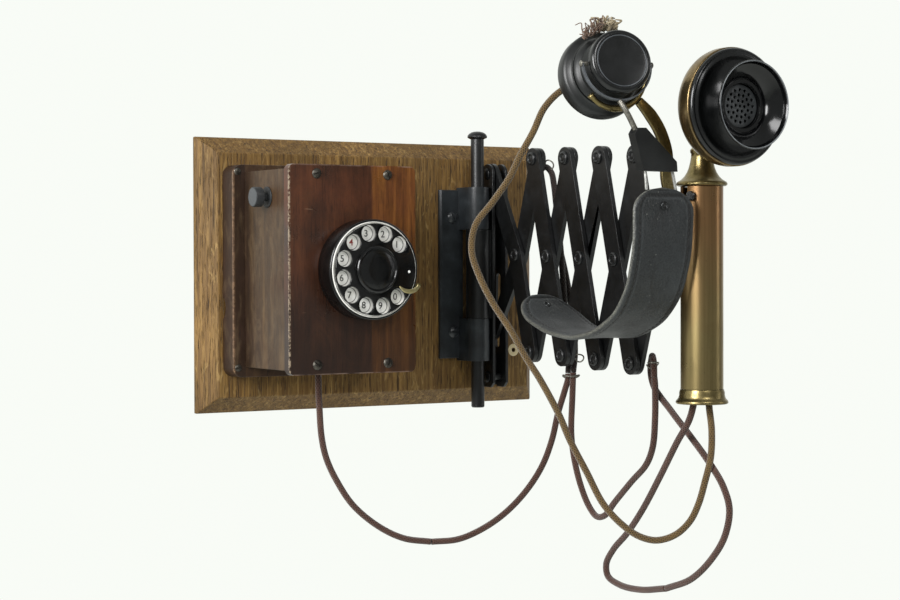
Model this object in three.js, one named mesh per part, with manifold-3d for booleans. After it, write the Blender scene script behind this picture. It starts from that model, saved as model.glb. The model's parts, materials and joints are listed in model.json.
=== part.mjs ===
// Wall telephone on a lazy-tongs gate: a wooden dial box on a bevelled board, and a brass tube with
// transmitter, switch hook and headset receiver carried on a folding scissor arm.
// Millimetres. Origin at the centre of the board's back face, +X right, -Y out of the wall, +Z up.
import * as THREE from "three";
import { mergeVertices } from "three/addons/utils/BufferGeometryUtils.js";
import Module from "manifold-3d";

const wasm = await Module();
wasm.setup();

// ---- driving dimensions -------------------------------------------------------------------------
const GAP = 0.3; // clearance between pieces that touch

// Backboard
const BOARD_W = 324;
const BOARD_H = 223;
const BOARD_T = 19;
const BEVEL_IN = 13.2;
const BEVEL_DEPTH = 15;
const BOARD_FRONT = -BOARD_T;
const OLD_HOLE = { x: 134.7, z: -66.4, r: 1.9, depth: 12 };

// Apparatus box
const BASE = { x0: -145.2, x1: -17.6, z0: -81.3, z1: 88.1, depth: 19.2, corner: 8 };
const BODY = { x0: -134.9, x1: -27.9, z0: -73.3, z1: 82.2, wall: 8 };
const COVER = { x0: -137.6, x1: -25.2, z0: -76.6, z1: 85.5, depth: 7.7, corner: 5, front: -119.7 };
const BASE_BACK = BOARD_FRONT - GAP;
const BASE_FRONT = BASE_BACK - BASE.depth;
const BODY_BACK = BASE_FRONT - GAP;
const COVER_BACK = COVER.front + COVER.depth;
const BODY_FRONT = COVER_BACK + GAP;
const CORD_EXIT = { x: -94, y: -85 };
const COVER_SCREW = { xs: [-113.4, -50.5], zs: [-68.9, 78.4], head: 4.1, shank: 1.7, length: 16 };
const BUTTON = { y: -78.9, z: 61, r: 7.8, stem: 3, travel: 3.5, face: -148.2 };

// Dial
const DIAL = { x: -74.2, z: 4.3, cup: 38.9, wall: 2.4, front: -140.4 };
const NUMBER_PLATE_R = 36.2;
const WHEEL_R = 35.6;
const FINGER_HOLES = { count: 10, pitch: 30, first: 42.7, ring: 28.6, r: 6.3 };
const DIAL_STOP_ANGLE = -31;
const CARD_R = 18.2;
const WORKS_R = 26;

// Wall hinge and gate channel
const ROD = { x: 86.5, y: -36.5, r: 5.65, z0: -113.8, z1: 116, head: 8.5 };
const KNUCKLE_R = 10;
const LEAF = { x0: 57.5, x1: 80, z0: -72, z1: 72, t: 4 };
const KNUCKLE_SPLIT = 38;
const CHANNEL = { x0: 97.2, x1: 112.8, back: -26.5, front: -43.8, wall: 2.6, foot: -97 };
const HINGE_SCREWS = [
  { x: 69.5, z: 48.5 },
  { x: 70.5, z: -49.5 },
];

// Lazy tongs. Angles are measured from the tongs' own upright, which droops with the arm.
const DROOP = THREE.MathUtils.degToRad(1.8);
const PIVOT_TOP = { y: -35, z: 85.5 };
const WALL_HALF = 78.5; // wall-side half of the first crossing
const WALL_ANGLE = THREE.MathUtils.degToRad(30);
const HALF = 83.7; // every other half bar
const OPEN_ANGLE = THREE.MathUtils.degToRad(16.17);
const OPEN_MIN = THREE.MathUtils.degToRad(-6); // extension range about the rest pose
const OPEN_MAX = THREE.MathUtils.degToRad(24);
const CROSSINGS = 4;
const BAR_R = 9;
const SLOT_END_R = 6; // end of the first rear bar, which rides inside the channel
const LAYER_A = { x0: 101, x1: 104.7 };
const LAYER_B = { x0: 105.3, x1: 109 };
const RIVET = { pin: 2.9, hole: 3.25, head: 4.7, height: 1.5 };

// Mast: tube, bracket and collar
const MAST = { x: 105, y: -316.8, r: 15.9, wall: 1.6, z0: -96, z1: 65.4 };
const BRACKET = { saddle: 18.6, half: 15, ear: 8, x0: 98.2, x1: 111.8, wrap: 3 };
const FOOT_BORE = 11.5;
const NECK_R = 7.6;
const TILT_PIVOT_Z = 104.5;

// Transmitter, facing -Y
const TRANSMITTER = { z: 122.2, face: -356.5, r: 42.4, mouth: 32.2, rim: -377.3 };
const GRILLE = { r: 15.6, t: 1.2, hole: 1.2 };
const GRILLE_RINGS = [ // ring radius, number of holes
  [0, 1],
  [4.1, 6],
  [8, 12],
  [11.8, 16],
];

// Switch hook, in the plane y = MAST.y
const FORK = { x: 24.5, z: 149, inner: 26, outer: 31.6, t: 4, from: 222, to: 352 };
const HOOK_PIVOT = { x: 99.5, z: 55 };

// Headset receiver: its axis leans left and up out of the fork
const RECEIVER = { x: 23.6, y: MAST.y, z: 150.2, turn: 13, lift: 11 };
const EAR_R = 32;
const CAP_R = 23.2;
const STRAP = { r: 26.5, t: 1.4, width: 3.4, h: 6.2, lug: 22.4 };

// Headband pad: a curved strip in planes of constant x
const PAD = { x0: 29.5, x1: 84.5, t: 4.6 };

// Cords
const CORD_R = 2.6;
const CORD_RING = { x: 114.3, y: -134.7, z: -84, r: 6.8, wire: 0.8 };

// ---- solids ------------------------------------------------------------------------------------
function toSolid(geometry) {
  const bare = geometry.index ? geometry.toNonIndexed() : geometry.clone();
  for (const name of Object.keys(bare.attributes)) {
    if (name !== "position") bare.deleteAttribute(name);
  }
  const merged = mergeVertices(bare, 1e-4);
  return new wasm.Manifold(
    new wasm.Mesh({
      numProp: 3,
      vertProperties: merged.attributes.position.array,
      triVerts: new Uint32Array(merged.index.array),
    }),
  );
}

function toGeometry(solid) {
  const mesh = solid.getMesh();
  const geometry = new THREE.BufferGeometry();
  geometry.setAttribute("position", new THREE.BufferAttribute(new Float32Array(mesh.vertProperties), 3));
  geometry.setIndex(new THREE.BufferAttribute(new Uint32Array(mesh.triVerts), 1));
  return geometry;
}

const join = (first, ...rest) => toGeometry(rest.reduce((sum, g) => sum.add(toSolid(g)), toSolid(first)));
const cut = (first, ...rest) => toGeometry(rest.reduce((sum, g) => sum.subtract(toSolid(g)), toSolid(first)));

// Placements of a geometry drawn along its own +Z (extrusions) or +Y (lathes and cylinders).
const Z_TO_X = new THREE.Matrix4().makeBasis(
  new THREE.Vector3(0, 1, 0),
  new THREE.Vector3(0, 0, 1),
  new THREE.Vector3(1, 0, 0),
);
const Z_TO_OUT = new THREE.Matrix4().makeRotationX(Math.PI / 2); // drawn (x, z), pushed towards -Y

// Box between two corners.
function block(x0, x1, y0, y1, z0, z1) {
  const geometry = new THREE.BoxGeometry(Math.abs(x1 - x0), Math.abs(y1 - y0), Math.abs(z1 - z0));
  return geometry.translate((x0 + x1) / 2, (y0 + y1) / 2, (z0 + z1) / 2);
}

// Cylinders along each axis, from one end to the other.
function rodX(x0, x1, y, z, r, sides = 14) {
  const geometry = new THREE.CylinderGeometry(r, r, x1 - x0, sides);
  return geometry.rotateZ(-Math.PI / 2).translate((x0 + x1) / 2, y, z);
}
function rodY(y0, y1, x, z, r, sides = 20) {
  return new THREE.CylinderGeometry(r, r, Math.abs(y1 - y0), sides).translate(x, (y0 + y1) / 2, z);
}
function rodZ(z0, z1, x, y, r, sides = 20) {
  const geometry = new THREE.CylinderGeometry(r, r, z1 - z0, sides);
  return geometry.rotateX(Math.PI / 2).translate(x, y, (z0 + z1) / 2);
}

// Turned piece about its own +Y; the profile is a closed or axis-to-axis list of [radius, height].
function turned(profile, sides = 28) {
  return new THREE.LatheGeometry(profile.map(([r, h]) => new THREE.Vector2(r, h)), sides);
}
const standUp = (geometry, x, y) => geometry.rotateX(Math.PI / 2).translate(x, y, 0);

// Flat outline pushed from y0 to y1 (towards -Y), drawn in (x, z).
function plateXZ(shape, y0, y1, curveSegments = 8) {
  const depth = Math.abs(y1 - y0);
  const geometry = new THREE.ExtrudeGeometry(shape, { depth, bevelEnabled: false, curveSegments });
  return geometry.applyMatrix4(Z_TO_OUT).translate(0, Math.max(y0, y1), 0);
}
// Flat outline pushed from x0 to x1, drawn in (y, z).
function plateYZ(shape, x0, x1, curveSegments = 6) {
  const geometry = new THREE.ExtrudeGeometry(shape, { depth: x1 - x0, bevelEnabled: false, curveSegments });
  return geometry.applyMatrix4(Z_TO_X).translate(x0, 0, 0);
}
// Flat outline pushed from z0 to z1, drawn in (x, y).
function plateXY(shape, z0, z1, curveSegments = 8) {
  const geometry = new THREE.ExtrudeGeometry(shape, { depth: z1 - z0, bevelEnabled: false, curveSegments });
  return geometry.translate(0, 0, z0);
}

function roundedRect(x0, x1, z0, z1, r) {
  const shape = new THREE.Shape();
  shape.absarc(x1 - r, z1 - r, r, 0, Math.PI / 2);
  shape.absarc(x0 + r, z1 - r, r, Math.PI / 2, Math.PI);
  shape.absarc(x0 + r, z0 + r, r, Math.PI, 1.5 * Math.PI);
  shape.absarc(x1 - r, z0 + r, r, 1.5 * Math.PI, 2 * Math.PI);
  return shape;
}
function disc(x, z, r) {
  return new THREE.Shape().absarc(x, z, r, 0, 2 * Math.PI);
}
// Strip with round ends round two points, tapered when its ends differ.
function stadium([ax, ay], [bx, by], endA, endB = endA) {
  const along = Math.atan2(by - ay, bx - ax);
  const shape = new THREE.Shape();
  shape.absarc(bx, by, endB, along - Math.PI / 2, along + Math.PI / 2);
  shape.absarc(ax, ay, endA, along + Math.PI / 2, along + 1.5 * Math.PI);
  return shape;
}
// Constant-width ribbon along a smooth 2-D line.
function ribbon(points, width, samples) {
  const curve = new THREE.SplineCurve(points.map(([u, v]) => new THREE.Vector2(u, v)));
  const left = [];
  const right = [];
  for (let i = 0; i <= samples; i++) {
    const p = curve.getPoint(i / samples);
    const t = curve.getTangent(i / samples);
    left.push(new THREE.Vector2(p.x - (t.y * width) / 2, p.y + (t.x * width) / 2));
    right.unshift(new THREE.Vector2(p.x + (t.y * width) / 2, p.y - (t.x * width) / 2));
  }
  return new THREE.Shape([...left, ...right]);
}
// Round bar along a smooth 3-D line.
function cordAlong(points, r, steps, sides = 8) {
  const path = new THREE.CatmullRomCurve3(points.map((p) => new THREE.Vector3(...p)));
  const section = new THREE.Shape();
  for (let i = 0; i < sides; i++) {
    const a = (i / sides) * 2 * Math.PI;
    if (i === 0) section.moveTo(r, 0);
    else section.lineTo(r * Math.cos(a), r * Math.sin(a));
  }
  return new THREE.ExtrudeGeometry(section, { steps, extrudePath: path, bevelEnabled: false });
}
// Closed solid through rectangles [x0, x1, z0, z1] at successive depths y.
function stackedRects(levels) {
  const positions = [];
  const corners = levels.map(([y, x0, x1, z0, z1]) => [
    [x0, y, z0],
    [x1, y, z0],
    [x1, y, z1],
    [x0, y, z1],
  ]);
  const quad = (a, b, c, d) => positions.push(...a, ...b, ...c, ...a, ...c, ...d);
  quad(corners[0][3], corners[0][2], corners[0][1], corners[0][0]);
  for (let i = 0; i + 1 < corners.length; i++) {
    for (let k = 0; k < 4; k++) {
      const n = (k + 1) % 4;
      quad(corners[i][k], corners[i][n], corners[i + 1][n], corners[i + 1][k]);
    }
  }
  const last = corners[corners.length - 1];
  quad(last[0], last[1], last[2], last[3]);
  const geometry = new THREE.BufferGeometry();
  geometry.setAttribute("position", new THREE.Float32BufferAttribute(positions, 3));
  return geometry;
}

// ---- scene graph --------------------------------------------------------------------------------
const telephone = new THREE.Group();
const finish = (color, roughness, metalness) =>
  new THREE.MeshStandardMaterial({ color, roughness, metalness });
const OAK = finish(0x9a7a45, 0.6, 0);
const BOX_WOOD = finish(0x4a2a1e, 0.45, 0);
const BLACK_IRON = finish(0x24262a, 0.5, 0.4);
const STEEL = finish(0x9c9a94, 0.35, 0.9);
const BRASS = finish(0x9a7c4a, 0.3, 0.9);
const HARD_RUBBER = finish(0x111214, 0.22, 0);
const ENAMEL_WHITE = finish(0xe8e6df, 0.25, 0);
const BUTTON_BLACK = finish(0x2c2e30, 0.5, 0);
const LEATHER = finish(0x3a3b3d, 0.65, 0);
const BROWN_CORD = finish(0x4a322a, 0.85, 0);
const OLIVE_CORD = finish(0x6e5f43, 0.85, 0);

function add(name, geometry, material) {
  const mesh = new THREE.Mesh(geometry, material);
  mesh.name = name;
  telephone.add(mesh);
  return mesh;
}

// ---- backboard ----------------------------------------------------------------------------------
function makeBoard() {
  const w = BOARD_W / 2;
  const h = BOARD_H / 2;
  const edge = -(BOARD_T - BEVEL_DEPTH);
  const slab = stackedRects([
    [0, -w, w, -h, h],
    [edge, -w, w, -h, h],
    [BOARD_FRONT, -w + BEVEL_IN, w - BEVEL_IN, -h + BEVEL_IN, h - BEVEL_IN],
  ]);
  const hole = rodY(BOARD_FRONT - 1, BOARD_FRONT + OLD_HOLE.depth, OLD_HOLE.x, OLD_HOLE.z, OLD_HOLE.r, 12);
  add("backboard", cut(slab, hole), OAK);
}

// ---- apparatus box ------------------------------------------------------------------------------
function makeBox() {
  const baseOutline = roundedRect(BASE.x0, BASE.x1, BASE.z0, BASE.z1, BASE.corner);
  const notch = rodX(BASE.x0 - 1, BASE.x0 + 14, BASE_BACK + 5.5, -26, 10.5, 20);
  add("box_base", cut(plateXZ(baseOutline, BASE_BACK, BASE_FRONT, 5), notch), BOX_WOOD);

  const shell = block(BODY.x0, BODY.x1, BODY_BACK, BODY_FRONT, BODY.z0, BODY.z1);
  const inside = block(
    BODY.x0 + BODY.wall,
    BODY.x1 - BODY.wall,
    BODY_BACK + 1,
    BODY_FRONT - 1,
    BODY.z0 + BODY.wall,
    BODY.z1 - BODY.wall,
  );
  const cordHole = rodZ(BODY.z0 - 1, BODY.z0 + BODY.wall + 1, CORD_EXIT.x, CORD_EXIT.y, CORD_R + GAP, 12);
  const stemHole = rodX(BODY.x0 - 1, BODY.x0 + BODY.wall + 1, BUTTON.y, BUTTON.z, BUTTON.stem + GAP, 12);
  const screwHoles = [];
  for (const x of COVER_SCREW.xs) {
    for (const z of COVER_SCREW.zs) {
      screwHoles.push(rodY(BODY_FRONT - 1, BODY_FRONT + 12, x, z, COVER_SCREW.shank + GAP, 8));
    }
  }
  add("box_body", cut(shell, inside, cordHole, stemHole, ...screwHoles), BOX_WOOD);

  const coverOutline = roundedRect(COVER.x0, COVER.x1, COVER.z0, COVER.z1, COVER.corner);
  const worksHole = rodY(COVER.front - 1, COVER_BACK + 1, DIAL.x, DIAL.z, WORKS_R + 1, 32);
  const cover = plateXZ(coverOutline, COVER_BACK, COVER.front, 5);
  const coverHoles = [worksHole];
  for (const x of COVER_SCREW.xs) {
    for (const z of COVER_SCREW.zs) {
      coverHoles.push(rodY(COVER.front - 1, COVER_BACK + 1, x, z, COVER_SCREW.shank + GAP, 8));
    }
  }
  add("box_cover", cut(cover, ...coverHoles), BOX_WOOD);

  let number = 1;
  for (const x of COVER_SCREW.xs) {
    for (const z of COVER_SCREW.zs) {
      const screw = turned(
        [
          [0, 0],
          [COVER_SCREW.head, 0],
          [COVER_SCREW.head * 0.8, 1.1],
          [COVER_SCREW.head * 0.45, 1.7],
          [0, 1.9],
        ],
        12,
      );
      const shank = new THREE.CylinderGeometry(COVER_SCREW.shank, COVER_SCREW.shank, COVER_SCREW.length, 8);
      shank.translate(0, -COVER_SCREW.length / 2 + 0.2, 0);
      const slot = block(-0.5, 0.5, 1, 3, -COVER_SCREW.head, COVER_SCREW.head);
      slot.rotateY(number * 0.9);
      const geometry = cut(join(screw, shank), slot);
      geometry.rotateX(Math.PI);
      geometry.translate(x, COVER.front - GAP, z);
      add("cover_screw_" + number, geometry, STEEL);
      number += 1;
    }
  }
}

function makeButton() {
  const outer = BODY.x0 - GAP;
  const collar = rodX(outer - 2.2, outer, BUTTON.y, BUTTON.z, BUTTON.r + 1.4, 20);
  const bore = rodX(outer - 4, outer + 2, BUTTON.y, BUTTON.z, BUTTON.stem + GAP, 12);
  add("button_collar", cut(collar, bore), BUTTON_BLACK);
  const capBack = outer - 2.2 - BUTTON.travel - GAP;
  const cap = rodX(BUTTON.face, capBack, BUTTON.y, BUTTON.z, BUTTON.r, 24);
  const stem = rodX(capBack - 1, BODY.x0 + BODY.wall + 6, BUTTON.y, BUTTON.z, BUTTON.stem, 12);
  add("call_button", join(cap, stem), BUTTON_BLACK);
}

function makeWorks() {
  const inner = BODY_BACK - GAP;
  add("terminal_block", block(-120, -36, inner, inner - 12, -60, -46), HARD_RUBBER);
}

// ---- dial ---------------------------------------------------------------------------------------
function makeDial() {
  const back = COVER.front - GAP;
  const depth = back - DIAL.front;
  const floor = 3;
  const plateSeat = depth - 3.6;
  // The cup is turned about its axis with height measured out from the cover.
  const cup = turned(
    [
      [0, -30],
      [WORKS_R - 1, -30],
      [WORKS_R - 1, 0],
      [DIAL.cup - 0.8, 0],
      [DIAL.cup, 1],
      [DIAL.cup, depth - 0.8],
      [DIAL.cup - 0.8, depth],
      [DIAL.cup - DIAL.wall + 0.3, depth],
      [DIAL.cup - DIAL.wall, depth - 0.4],
      [DIAL.cup - DIAL.wall, floor + 8],
      [20, floor + 8],
      [20, floor],
      [0, floor],
    ],
    40,
  );
  const place = (geometry) => geometry.rotateX(Math.PI).translate(DIAL.x, back, DIAL.z);
  add("dial_cup", place(cup), HARD_RUBBER);

  const plate = turned(
    [
      [3.6, plateSeat],
      [NUMBER_PLATE_R, plateSeat],
      [NUMBER_PLATE_R, plateSeat + 1.4],
      [3.6, plateSeat + 1.4],
      [3.6, plateSeat],
    ],
    40,
  );
  add("number_plate", place(plate), ENAMEL_WHITE);

  const wheelFace = DIAL.front - 2.6;
  const outline = disc(DIAL.x, DIAL.z, WHEEL_R);
  for (let i = 0; i < FINGER_HOLES.count; i++) {
    const a = THREE.MathUtils.degToRad(FINGER_HOLES.first + FINGER_HOLES.pitch * i);
    const x = DIAL.x + FINGER_HOLES.ring * Math.cos(a);
    const z = DIAL.z + FINGER_HOLES.ring * Math.sin(a);
    outline.holes.push(new THREE.Path().absarc(x, z, FINGER_HOLES.r, 0, 2 * Math.PI, true));
  }
  const wheel = plateXZ(outline, wheelFace + 1.6, wheelFace, 10);
  const shaft = rodY(wheelFace + 1.2, back - floor - GAP - 1, DIAL.x, DIAL.z, 3, 14);
  const hub = rodY(wheelFace + 0.5, wheelFace - 1, DIAL.x, DIAL.z, CARD_R - 2, 28);
  add("finger_wheel", join(wheel, shaft, hub), HARD_RUBBER);

  const card = turned(
    [
      [0, 0],
      [CARD_R - 1.2, 0],
      [CARD_R, 0.8],
      [CARD_R - 0.6, 1.8],
      [CARD_R - 2, 2.3],
      [CARD_R - 2.6, 1.7],
      [0, 1.9],
    ],
    28,
  );
  card.rotateX(Math.PI);
  card.translate(DIAL.x, wheelFace - 1 - GAP, DIAL.z);
  add("card_holder", card, HARD_RUBBER);

  // Finger stop: a curved tab from the cup's side, over the wheel's face.
  const polar = (r, degrees) => {
    const a = THREE.MathUtils.degToRad(degrees);
    return [DIAL.x + r * Math.cos(a), DIAL.z + r * Math.sin(a)];
  };
  const tab = ribbon([polar(41, -16), polar(37, -24), polar(31, DIAL_STOP_ANGLE), polar(22.5, -30)], 3.4, 8);
  const over = plateXZ(tab, wheelFace - 1.3, wheelFace - 2.5);
  const [sx, sz] = polar(40.9, -17);
  const post = block(sx - 1.1, sx + 1.1, wheelFace - 2.5, wheelFace + 12, sz - 2.2, sz + 2.2);
  add("finger_stop", join(over, post), BRASS);
}

// ---- wall hinge ---------------------------------------------------------------------------------
function makeHinge() {
  const leafBack = BOARD_FRONT - GAP;
  const leafFront = leafBack - LEAF.t;
  const flat = stackedRects([
    [leafBack, LEAF.x0, LEAF.x1, LEAF.z0, LEAF.z1],
    [leafFront + 1.5, LEAF.x0, LEAF.x1, LEAF.z0, LEAF.z1],
    [leafFront, LEAF.x0 + 1.5, LEAF.x1, LEAF.z0 + 0.5, LEAF.z1 - 0.5],
  ]);
  const curl = new THREE.Shape();
  curl.moveTo(LEAF.x1 - 4, leafBack);
  curl.lineTo(ROD.x + 3, leafBack);
  curl.lineTo(ROD.x + 4, ROD.y);
  curl.lineTo(ROD.x - KNUCKLE_R + 0.3, ROD.y);
  curl.lineTo(LEAF.x1 - 4, leafFront);
  const pieces = [];
  for (const [z0, z1] of [
    [KNUCKLE_SPLIT, 74],
    [-74, -KNUCKLE_SPLIT],
  ]) {
    pieces.push(plateXY(curl, z0, z1), rodZ(z0, z1, ROD.x, ROD.y, KNUCKLE_R, 20));
  }
  const bore = rodZ(-80, 80, ROD.x, ROD.y, ROD.r + GAP, 16);
  const holes = HINGE_SCREWS.map((s) => rodY(leafBack + 1, leafFront - 1, s.x, s.z, 2.3, 10));
  add("hinge_leaf", cut(join(flat, ...pieces), bore, ...holes), BLACK_IRON);

  HINGE_SCREWS.forEach((s, i) => {
    const screw = turned(
      [
        [0, -LEAF.t],
        [2, -LEAF.t],
        [2, GAP],
        [5.2, GAP],
        [4.4, 1.6],
        [2.6, 2.6],
        [0, 2.9],
      ],
      14,
    );
    const slot = block(-0.6, 0.6, 1.7, 4, -6, 6);
    slot.rotateY(0.5 + i);
    const geometry = cut(screw, slot);
    geometry.rotateX(Math.PI);
    geometry.translate(s.x, leafFront, s.z);
    add(i === 0 ? "hinge_screw_upper" : "hinge_screw_lower", geometry, BLACK_IRON);
  });

  const rod = turned(
    [
      [0, ROD.z0],
      [ROD.r - 0.5, ROD.z0],
      [ROD.r, ROD.z0 + 0.6],
      [ROD.r, ROD.z1 - 0.5],
      [ROD.head, ROD.z1],
      [ROD.head, ROD.z1 + 1],
      [ROD.head * 0.8, ROD.z1 + 3.4],
      [ROD.head * 0.45, ROD.z1 + 5],
      [0, ROD.z1 + 5.6],
    ],
    20,
  );
  add("hinge_rod", standUp(rod, ROD.x, ROD.y), BLACK_IRON);
}

// ---- lazy tongs ---------------------------------------------------------------------------------
// A place in the tongs' plane: across = out from the wall, down = along the drooped upright.
function tongs(origin, across, down) {
  return [
    origin[0] - across * Math.cos(DROOP) + down * Math.sin(DROOP),
    origin[1] - across * Math.sin(DROOP) - down * Math.cos(DROOP),
  ];
}
const spanAcross = HALF * Math.sin(OPEN_ANGLE);
const spanDown = HALF * Math.cos(OPEN_ANGLE);
const top = [[PIVOT_TOP.y, PIVOT_TOP.z]]; // top[0] is the fixed pivot in the channel
const middle = [tongs(top[0], WALL_HALF * Math.sin(WALL_ANGLE), WALL_HALF * Math.cos(WALL_ANGLE))];
const bottom = [tongs(top[0], 0, 2 * WALL_HALF * Math.cos(WALL_ANGLE))]; // bottom[0] slides in the slot
for (let i = 0; i < CROSSINGS; i++) {
  top.push(tongs(middle[i], spanAcross, -spanDown));
  bottom.push(tongs(middle[i], spanAcross, spanDown));
  middle.push(tongs(middle[i], 2 * spanAcross, 0));
}
const tip = middle[CROSSINGS];
const slotPin = (extra) => tongs(top[0], 0, 2 * WALL_HALF * Math.cos(WALL_ANGLE + extra));

function makeGate() {
  const back = CHANNEL.back;
  const front = CHANNEL.front;
  const profile = new THREE.Shape();
  const topZ = top[0][1];
  const midY = (back + front) / 2;
  const round = (back - front) / 2;
  profile.moveTo(back, CHANNEL.foot + 4);
  profile.lineTo(back - 4, CHANNEL.foot);
  profile.lineTo(front + 4, CHANNEL.foot);
  profile.lineTo(front, CHANNEL.foot + 4);
  profile.lineTo(front, topZ);
  profile.absarc(midY, topZ, round, Math.PI, 0, true);
  const outside = plateYZ(profile, CHANNEL.x0, CHANNEL.x1, 10);
  const inside = block(
    CHANNEL.x0 + CHANNEL.wall,
    CHANNEL.x1 - CHANNEL.wall,
    back - CHANNEL.wall,
    front - 2,
    CHANNEL.foot - 2,
    topZ + 20,
  );
  const slot = plateYZ(
    stadium(slotPin(OPEN_MIN - 0.03), slotPin(OPEN_MAX + 0.03), RIVET.hole + 0.2),
    CHANNEL.x0 - 1,
    CHANNEL.x1 + 1,
  );
  const pivotBore = rodX(CHANNEL.x0 - 1, CHANNEL.x1 + 1, top[0][0], topZ, RIVET.hole);
  const footY = midY;
  const footZ = -88;
  const footBore = rodX(CHANNEL.x0 - 1, CHANNEL.x1 + 1, footY, footZ, RIVET.hole);
  const knuckle = rodZ(-KNUCKLE_SPLIT + GAP, KNUCKLE_SPLIT - GAP, ROD.x, ROD.y, KNUCKLE_R, 20);
  const bridgeTop = KNUCKLE_SPLIT - GAP;
  const bridge = block(ROD.x, CHANNEL.x0 + 1, ROD.y - 4.5, ROD.y + 4.5, -bridgeTop, bridgeTop);
  const bore = rodZ(-50, 50, ROD.x, ROD.y, ROD.r + GAP, 16);
  const windows = [
    [topZ - 12, topZ + 20],
    [slotPin(OPEN_MIN)[1] - BAR_R - 2, slotPin(OPEN_MAX)[1] + BAR_R + 2],
  ].map(([z0, z1]) => {
    const [x0, x1] = [CHANNEL.x0 + CHANNEL.wall, CHANNEL.x1 - CHANNEL.wall];
    return block(x0, x1, back + 2, back - 5, z0, z1);
  });
  const channel = cut(outside, inside, ...windows);
  add("gate_channel", cut(join(channel, knuckle, bridge), slot, pivotBore, footBore, bore), BLACK_IRON);
  add("gate_pivot_bolt", makeBolt(CHANNEL.x0, CHANNEL.x1, top[0][0], topZ, 5), BLACK_IRON);
  add("gate_foot_bolt", makeBolt(CHANNEL.x0, CHANNEL.x1, footY, footZ, 5), BLACK_IRON);
}

// Bolt along X with a domed head on the low side and a nut on the high side.
function makeBolt(x0, x1, y, z, head) {
  const length = x1 - x0;
  const bolt = turned(
    [
      [0, -2.6],
      [head * 0.5, -2.4],
      [head, -1.2],
      [head, -GAP],
      [RIVET.pin, -GAP],
      [RIVET.pin, length + GAP],
      [head - 0.5, length + GAP],
      [head - 0.5, length + 2.6],
      [RIVET.pin - 0.4, length + 2.6],
      [RIVET.pin - 0.4, length + 4],
      [0, length + 4],
    ],
    12,
  );
  return bolt.rotateZ(-Math.PI / 2).translate(x0, y, z);
}

// Rivet fixed in a front bar: heads outside both layers, a pin through the rear one.
function rivet([y, z]) {
  const profile = [
    [0, LAYER_A.x0 - RIVET.height],
    [RIVET.head * 0.6, LAYER_A.x0 - RIVET.height + 0.2],
    [RIVET.head, LAYER_A.x0 - 0.4],
    [RIVET.head, LAYER_A.x0 + 0.5],
    [RIVET.pin, LAYER_A.x0 + 0.5],
    [RIVET.pin, LAYER_B.x1 + GAP],
    [RIVET.head, LAYER_B.x1 + GAP],
    [RIVET.head * 0.6, LAYER_B.x1 + RIVET.height + GAP],
    [0, LAYER_B.x1 + RIVET.height + GAP],
  ];
  return turned(profile, 12).rotateZ(-Math.PI / 2).translate(0, y, z);
}

function makeBar(name, layer, points, rivets, bores, wallEnd = BAR_R) {
  const strips = [];
  for (let i = 0; i + 1 < points.length; i++) {
    const start = i === 0 ? wallEnd : BAR_R;
    strips.push(plateYZ(stadium(points[i], points[i + 1], start, BAR_R), layer.x0, layer.x1));
  }
  const plain = strips.length > 1 ? join(...strips) : strips[0];
  const holes = bores.map(([y, z]) => rodX(layer.x0 - 1, layer.x1 + 1, y, z, RIVET.hole, 12));
  const drilled = holes.length ? cut(plain, ...holes) : plain;
  add(name, rivets.length ? join(drilled, ...rivets) : drilled, BLACK_IRON);
}

function makeTongs() {
  for (let i = 0; i < CROSSINGS; i++) {
    const frontBores = i === 0 ? [top[0]] : [];
    const frontRivets = [rivet(middle[i]), rivet(bottom[i + 1])];
    if (i > 0) frontRivets.push(rivet(top[i]));
    makeBar("bar_a" + (i + 1), LAYER_A, [top[i], middle[i], bottom[i + 1]], frontRivets, frontBores);

    const rearBores = [middle[i], top[i + 1]];
    const rearPins = [];
    if (i === 0) rearPins.push(rodX(CHANNEL.x0 - GAP, CHANNEL.x1 + 2, ...bottom[0], RIVET.pin, 12));
    else rearBores.push(bottom[i]);
    const wallEnd = i === 0 ? SLOT_END_R : BAR_R;
    makeBar("bar_b" + (i + 1), LAYER_B, [bottom[i], middle[i], top[i + 1]], rearPins, rearBores, wallEnd);
  }
  makeBar("bar_a5", LAYER_A, [top[CROSSINGS], tip], [rivet(top[CROSSINGS])], [tip]);
  makeBar("bar_b5", LAYER_B, [bottom[CROSSINGS], tip], [], [bottom[CROSSINGS], tip]);
}

// ---- mast ---------------------------------------------------------------------------------------
// Fork for the end pivot on a saddle that hugs the back of the tube.
function makeBracket() {
  const [tipY, tipZ] = tip;
  const z0 = tipZ - BRACKET.half;
  const z1 = tipZ + BRACKET.half;
  const ears = [];
  for (const [x0, x1] of [
    [BRACKET.x0, LAYER_A.x0 - GAP],
    [LAYER_B.x1 + GAP, BRACKET.x1],
  ]) {
    ears.push(plateYZ(stadium([tipY, tipZ], [tipY - 16, tipZ], BRACKET.ear), x0, x1));
  }
  const [neckBottom, neckTop] = [tipZ - BRACKET.ear, tipZ + BRACKET.ear];
  const neck = block(BRACKET.x0, BRACKET.x1, tipY - 12.5, MAST.y + 17, neckBottom, neckTop);
  const ring = rodZ(z0, z1, MAST.x, MAST.y, BRACKET.saddle, 32);
  const tubeBore = rodZ(z0 - 1, z1 + 1, MAST.x, MAST.y, MAST.r + GAP, 32);
  const earBore = rodX(BRACKET.x0 - 1, BRACKET.x1 + 1, tipY, tipZ, RIVET.hole, 12);
  const openFront = block(MAST.x - 60, MAST.x + 60, MAST.y - 60, MAST.y + BRACKET.wrap, z0 - 5, z1 + 5);
  add("mast_bracket", cut(join(ring, neck, ...ears), tubeBore, earBore, openFront), BLACK_IRON);
  add("end_bolt", makeBolt(BRACKET.x0, BRACKET.x1, tipY, tipZ, 5.5), BLACK_IRON);
}

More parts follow.
